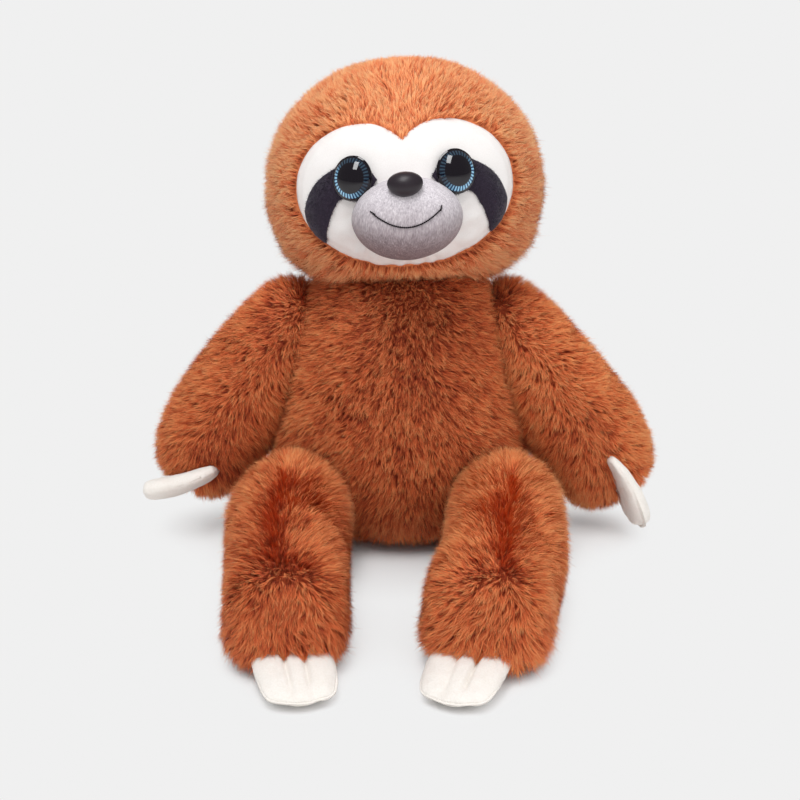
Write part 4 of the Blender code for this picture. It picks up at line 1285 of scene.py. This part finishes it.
def head_flow(places, normals):
    local = to_head(places)
    away = np.stack((local[:, 0], np.zeros(len(local)), local[:, 2] + 0.012), 1)
    behind = smoothstep(-0.02, 0.065, local[:, 1])[:, None]
    way = unit(away) * (1 - behind) + np.array((0, 0.0, -1.0)) * behind
    edge = outline_distance(local[:, (0, 2)], FACE_OUTLINE)
    near = (1 - smoothstep(0.0, 0.016, edge)) * (local[:, 1] < 0)
    # Painted light: the pile gets lighter towards the crown, and lighter near the face's seam, which
    # offsets the shade there
    shade = 0.04 * smoothstep(-0.02, 0.055, local[:, 2]) + 0.06 * near
    low = smoothstep(-0.026, -0.050, local[:, 2])
    share = 1 + 0.50 * low * smoothstep(0.02, 0.04, np.abs(local[:, 0])) - 0.30 * near
    share += 0.25 * low * (local[:, 0] > 0.03) - 0.24 * smoothstep(0.030, 0.062, local[:, 2])
    upper = smoothstep(-0.030, -0.008, local[:, 2])
    share += 0.15 * upper * smoothstep(0.055, 0.072, np.abs(local[:, 0]))
    return head_to_world(way), 1.0 + 0.15 * near, share, shade


FUR_EDGE = outward(FACE_OUTLINE, -0.0008)


def head_keep(places, normals):
    local = to_head(places)
    kept = ~(inside_outline(local[:, (0, 2)], FUR_EDGE) & (local[:, 1] < -FACE_BACK))
    index = np.where(places[:, 2] < 0.175)[0]
    kept[index[depth_inside(torso_tree, places[index]) > 0.002]] = False
    return kept


def limb_flow(name, facing, sign):
    """Away from a parting down the limb's face, and down over its end.

    facing is the side that the parting lies on, and sign the side that is the limb's outer one.
    """
    root, along, length = limb_axes[name]
    across = unit(np.cross(along, facing))
    across *= math.copysign(1, across[0] * sign)
    leg = "leg" in name
    radius = LEG_RADIUS if leg else ARM_RADIUS

    def flow(places, normals):
        part = (places - root) @ along / length
        offset = (places - root) @ across / radius
        side = offset - 0.25 * leg
        end = smoothstep(0.80, 1.10, part)
        down = np.array((0, 0, -1.0))
        ahead = 0.25 * smoothstep(0.15, 0.55, part) if leg else np.full(len(places), 0.5)
        way = along * ahead[:, None] + across * side[:, None] * (1.2 + 0.3 * leg)
        thigh = 1 - smoothstep(0.30, 0.62, part)
        way += down * (0.25 + (0.75 * end + 0.60 * thigh) * leg)[:, None]
        aside = smoothstep(0.0, 0.8, np.abs(side))
        amount = 0.80 + 0.20 * aside
        if leg:
            amount = 1.0 - 0.45 * np.clip(normals[:, 2], 0, 1) + 0.25 * end * (normals[:, 2] < 0.4)
        # Painted shade and light: the pile is darker along the parting and lighter towards the outer
        # side
        middle = smoothstep(0.30, 0.60, part) * (1 - smoothstep(0.95, 1.20, part))
        shade = (0.10 * leg - 0.16) * (1 - aside) * middle + 0.16 * smoothstep(0.3, 1.0, offset)
        share = np.ones(len(places))
        if leg:
            share += 0.25 * smoothstep(0.2, 0.9, offset) * (1 - smoothstep(0.15, 0.55, part))
            share += 0.45 * end * smoothstep(1.10, 0.50, places[:, 2] / radius)
            # Painted light: a leg's pile is lighter on the thigh and where it faces up
            shade += 0.10 * (1 - smoothstep(0.10, 0.45, part)) + 0.16 * np.clip(normals[:, 2], 0, 1)
        else:
            share += 0.40 * smoothstep(-0.05, -0.20, part) * smoothstep(0.1, -0.5, offset)
        return way, amount, share, shade
    return flow


UNDER_MITT = 0.0030


def limb_keep(mitt_room):
    """Pile all over a limb but on what it sits on, deep in the body and under its mitt."""
    mitt_tree, low, high, _ = mitt_room

    def keep(places, normals):
        kept = (places[:, 2] > 0.0) & ~((places[:, 2] < 0.010) & (normals[:, 2] < -0.85))
        kept &= depth_inside(torso_tree, places) < 0.012
        above = places + normals * UNDER_MITT
        index = np.where(((above > low) & (above < high)).all(1))[0]
        kept[index[depth_inside(mitt_tree, above[index]) > -0.0004]] = False
        return kept
    return keep


FUR_GAP, FUR_WIDTH = 0.00119, 0.00027
FUR_CLUMP = (0.15, 0.60)
PILES = {
    "torso": Pile(FUR_GAP, 5, 0.0086, FUR_WIDTH, 16, 50, 0.0008, FUR_CLUMP, 0.10, 0.56),
    # The head's higher tone is painted light from above
    "head": Pile(FUR_GAP, 5, 0.0088, FUR_WIDTH, 18, 58, 0.0008, FUR_CLUMP, 0.05, 0.76),
    "arm": Pile(FUR_GAP, 5, 0.0088, FUR_WIDTH, 16, 50, 0.0008, FUR_CLUMP, 0.10, 0.60),
    "leg": Pile(FUR_GAP, 5, 0.0086, FUR_WIDTH, 16, 52, 0.0008, FUR_CLUMP, 0.12, 0.51),
    "patch": Pile(0.00055, 1, 0.0013, 0.00022, 25, 60, 0.0002, (0.0, 0.0), 0.0, 0.50),
}
grow_pile("torso_fur", skins["torso"].data, "body", PILES["torso"], torso_flow, torso_keep, 11,
          FUR)
grow_pile("head_fur", skins["head"].data, "body", PILES["head"], head_flow, head_keep, 23,
          HEAD_FUR)
MITT_MARGIN = 0.0006
# Painted light: the toy's left arm and leg are lighter, as if lit more from that side
SIDE_PAINTED_LIGHT = {"left": 0.15, "right": 0.0}


def room_of(piece):
    """What strands keep out of: a closed surface, its box and how far off they stay."""
    co = coordinates(piece.data)
    return tree_of(piece.data), co.min(0) - MITT_MARGIN, co.max(0) + MITT_MARGIN, MITT_MARGIN


for number, (side, sign) in enumerate(SIDES):
    for kind, mitt, facing, seed in (("arm", "hand", (0, -1, 0), 31), ("leg", "foot", (0, 0, 1), 41)):
        name = f"{kind}_{side}"
        pile = PILES[kind]._replace(tone=PILES[kind].tone + SIDE_PAINTED_LIGHT[side])
        mitt_room = room_of(claws[f"{mitt}_claws_{side}"])
        grow_pile(f"{kind}_fur_{side}", skins[name].data, f"{side}_{kind}", pile,
                  limb_flow(name, facing, sign), limb_keep(mitt_room), seed + number, FUR,
                  [mitt_room])


def nap_flow(places, normals):
    down = np.tile((0.0, 0.0, -1.0), (len(places), 1))
    return down, np.full(len(places), 0.9), np.ones(len(places)), np.zeros(len(places))


def facing_out(places, normals):
    return normals[:, 1] < -0.2


for number, (side, sign) in enumerate(SIDES):
    grow_pile(f"eye_patch_nap_{side}", patch_tops[side].data, "body", PILES["patch"], nap_flow,
              facing_out, 51 + number, NAP)

# Floor and light
PAPER = (0.871, 0.871, 0.871)
FLOOR_PAPER = 0.86
bpy.ops.mesh.primitive_plane_add(size=12, location=(0, 0, -0.0001))
floor = bpy.context.object
floor.name = "floor"
material, tree, shader = new_material("paper", 0.9, 0.1)
shader.inputs["Base Color"].default_value = (FLOOR_PAPER, FLOOR_PAPER, FLOOR_PAPER, 1)
floor.data.materials.append(material)
glow = add_node(tree, "ShaderNodeEmission", Color=(*PAPER, 1))
closed = add_node(tree, "ShaderNodeAmbientOcclusion", Distance=0.06, samples=24)
path = tree.nodes.new("ShaderNodeLightPath")
seen = math_node(tree, "MULTIPLY", path.outputs["Is Camera Ray"],
                 share_between(tree, closed.outputs["AO"], 0.08, 0.68))
blend = mixed_shaders(tree, seen, shader.outputs["BSDF"], glow.outputs["Emission"])
tree.links.new(blend, tree.nodes["Material Output"].inputs["Surface"])

world = bpy.data.worlds.new("studio")
bpy.context.scene.world = world
world.use_nodes = True
tree = world.node_tree
for node in list(tree.nodes):
    tree.nodes.remove(node)
output = tree.nodes.new("ShaderNodeOutputWorld")
room = add_node(tree, "ShaderNodeBackground", Color=(1, 1, 1, 1))
seen = add_node(tree, "ShaderNodeBackground", Color=(*PAPER, 1), Strength=1.0)
path = tree.nodes.new("ShaderNodeLightPath")
dimmed = math_node(tree, "MULTIPLY_ADD", path.outputs["Is Glossy Ray"], -0.32, 0.55)
tree.links.new(dimmed, room.inputs["Strength"])
blend = mixed_shaders(tree, path.outputs["Is Camera Ray"], room.outputs["Background"],
                      seen.outputs["Background"])
tree.links.new(blend, output.inputs["Surface"])


def lamp(name, place, aim, width, height, power, mirrored):
    data = bpy.data.lights.new(name, "AREA")
    data.shape = "RECTANGLE"
    data.size, data.size_y = width, height
    data.energy = power
    thing = link(bpy.data.objects.new(name, data))
    thing.location = place
    thing.rotation_euler = (Vector(aim) - Vector(place)).to_track_quat("-Z", "Y").to_euler()
    thing.visible_glossy = mirrored


lamp("key", (-0.14, -0.46, 1.24), (0, -0.02, 0.15), 0.36, 0.72, 8.2, True)
lamp("fill", (0.80, -1.45, 0.75), (0, 0, 0.12), 1.4, 1.0, 6.0, False)
lamp("rim", (0.1, 0.80, 0.95), (0, 0, 0.18), 0.9, 0.5, 3.2, False)
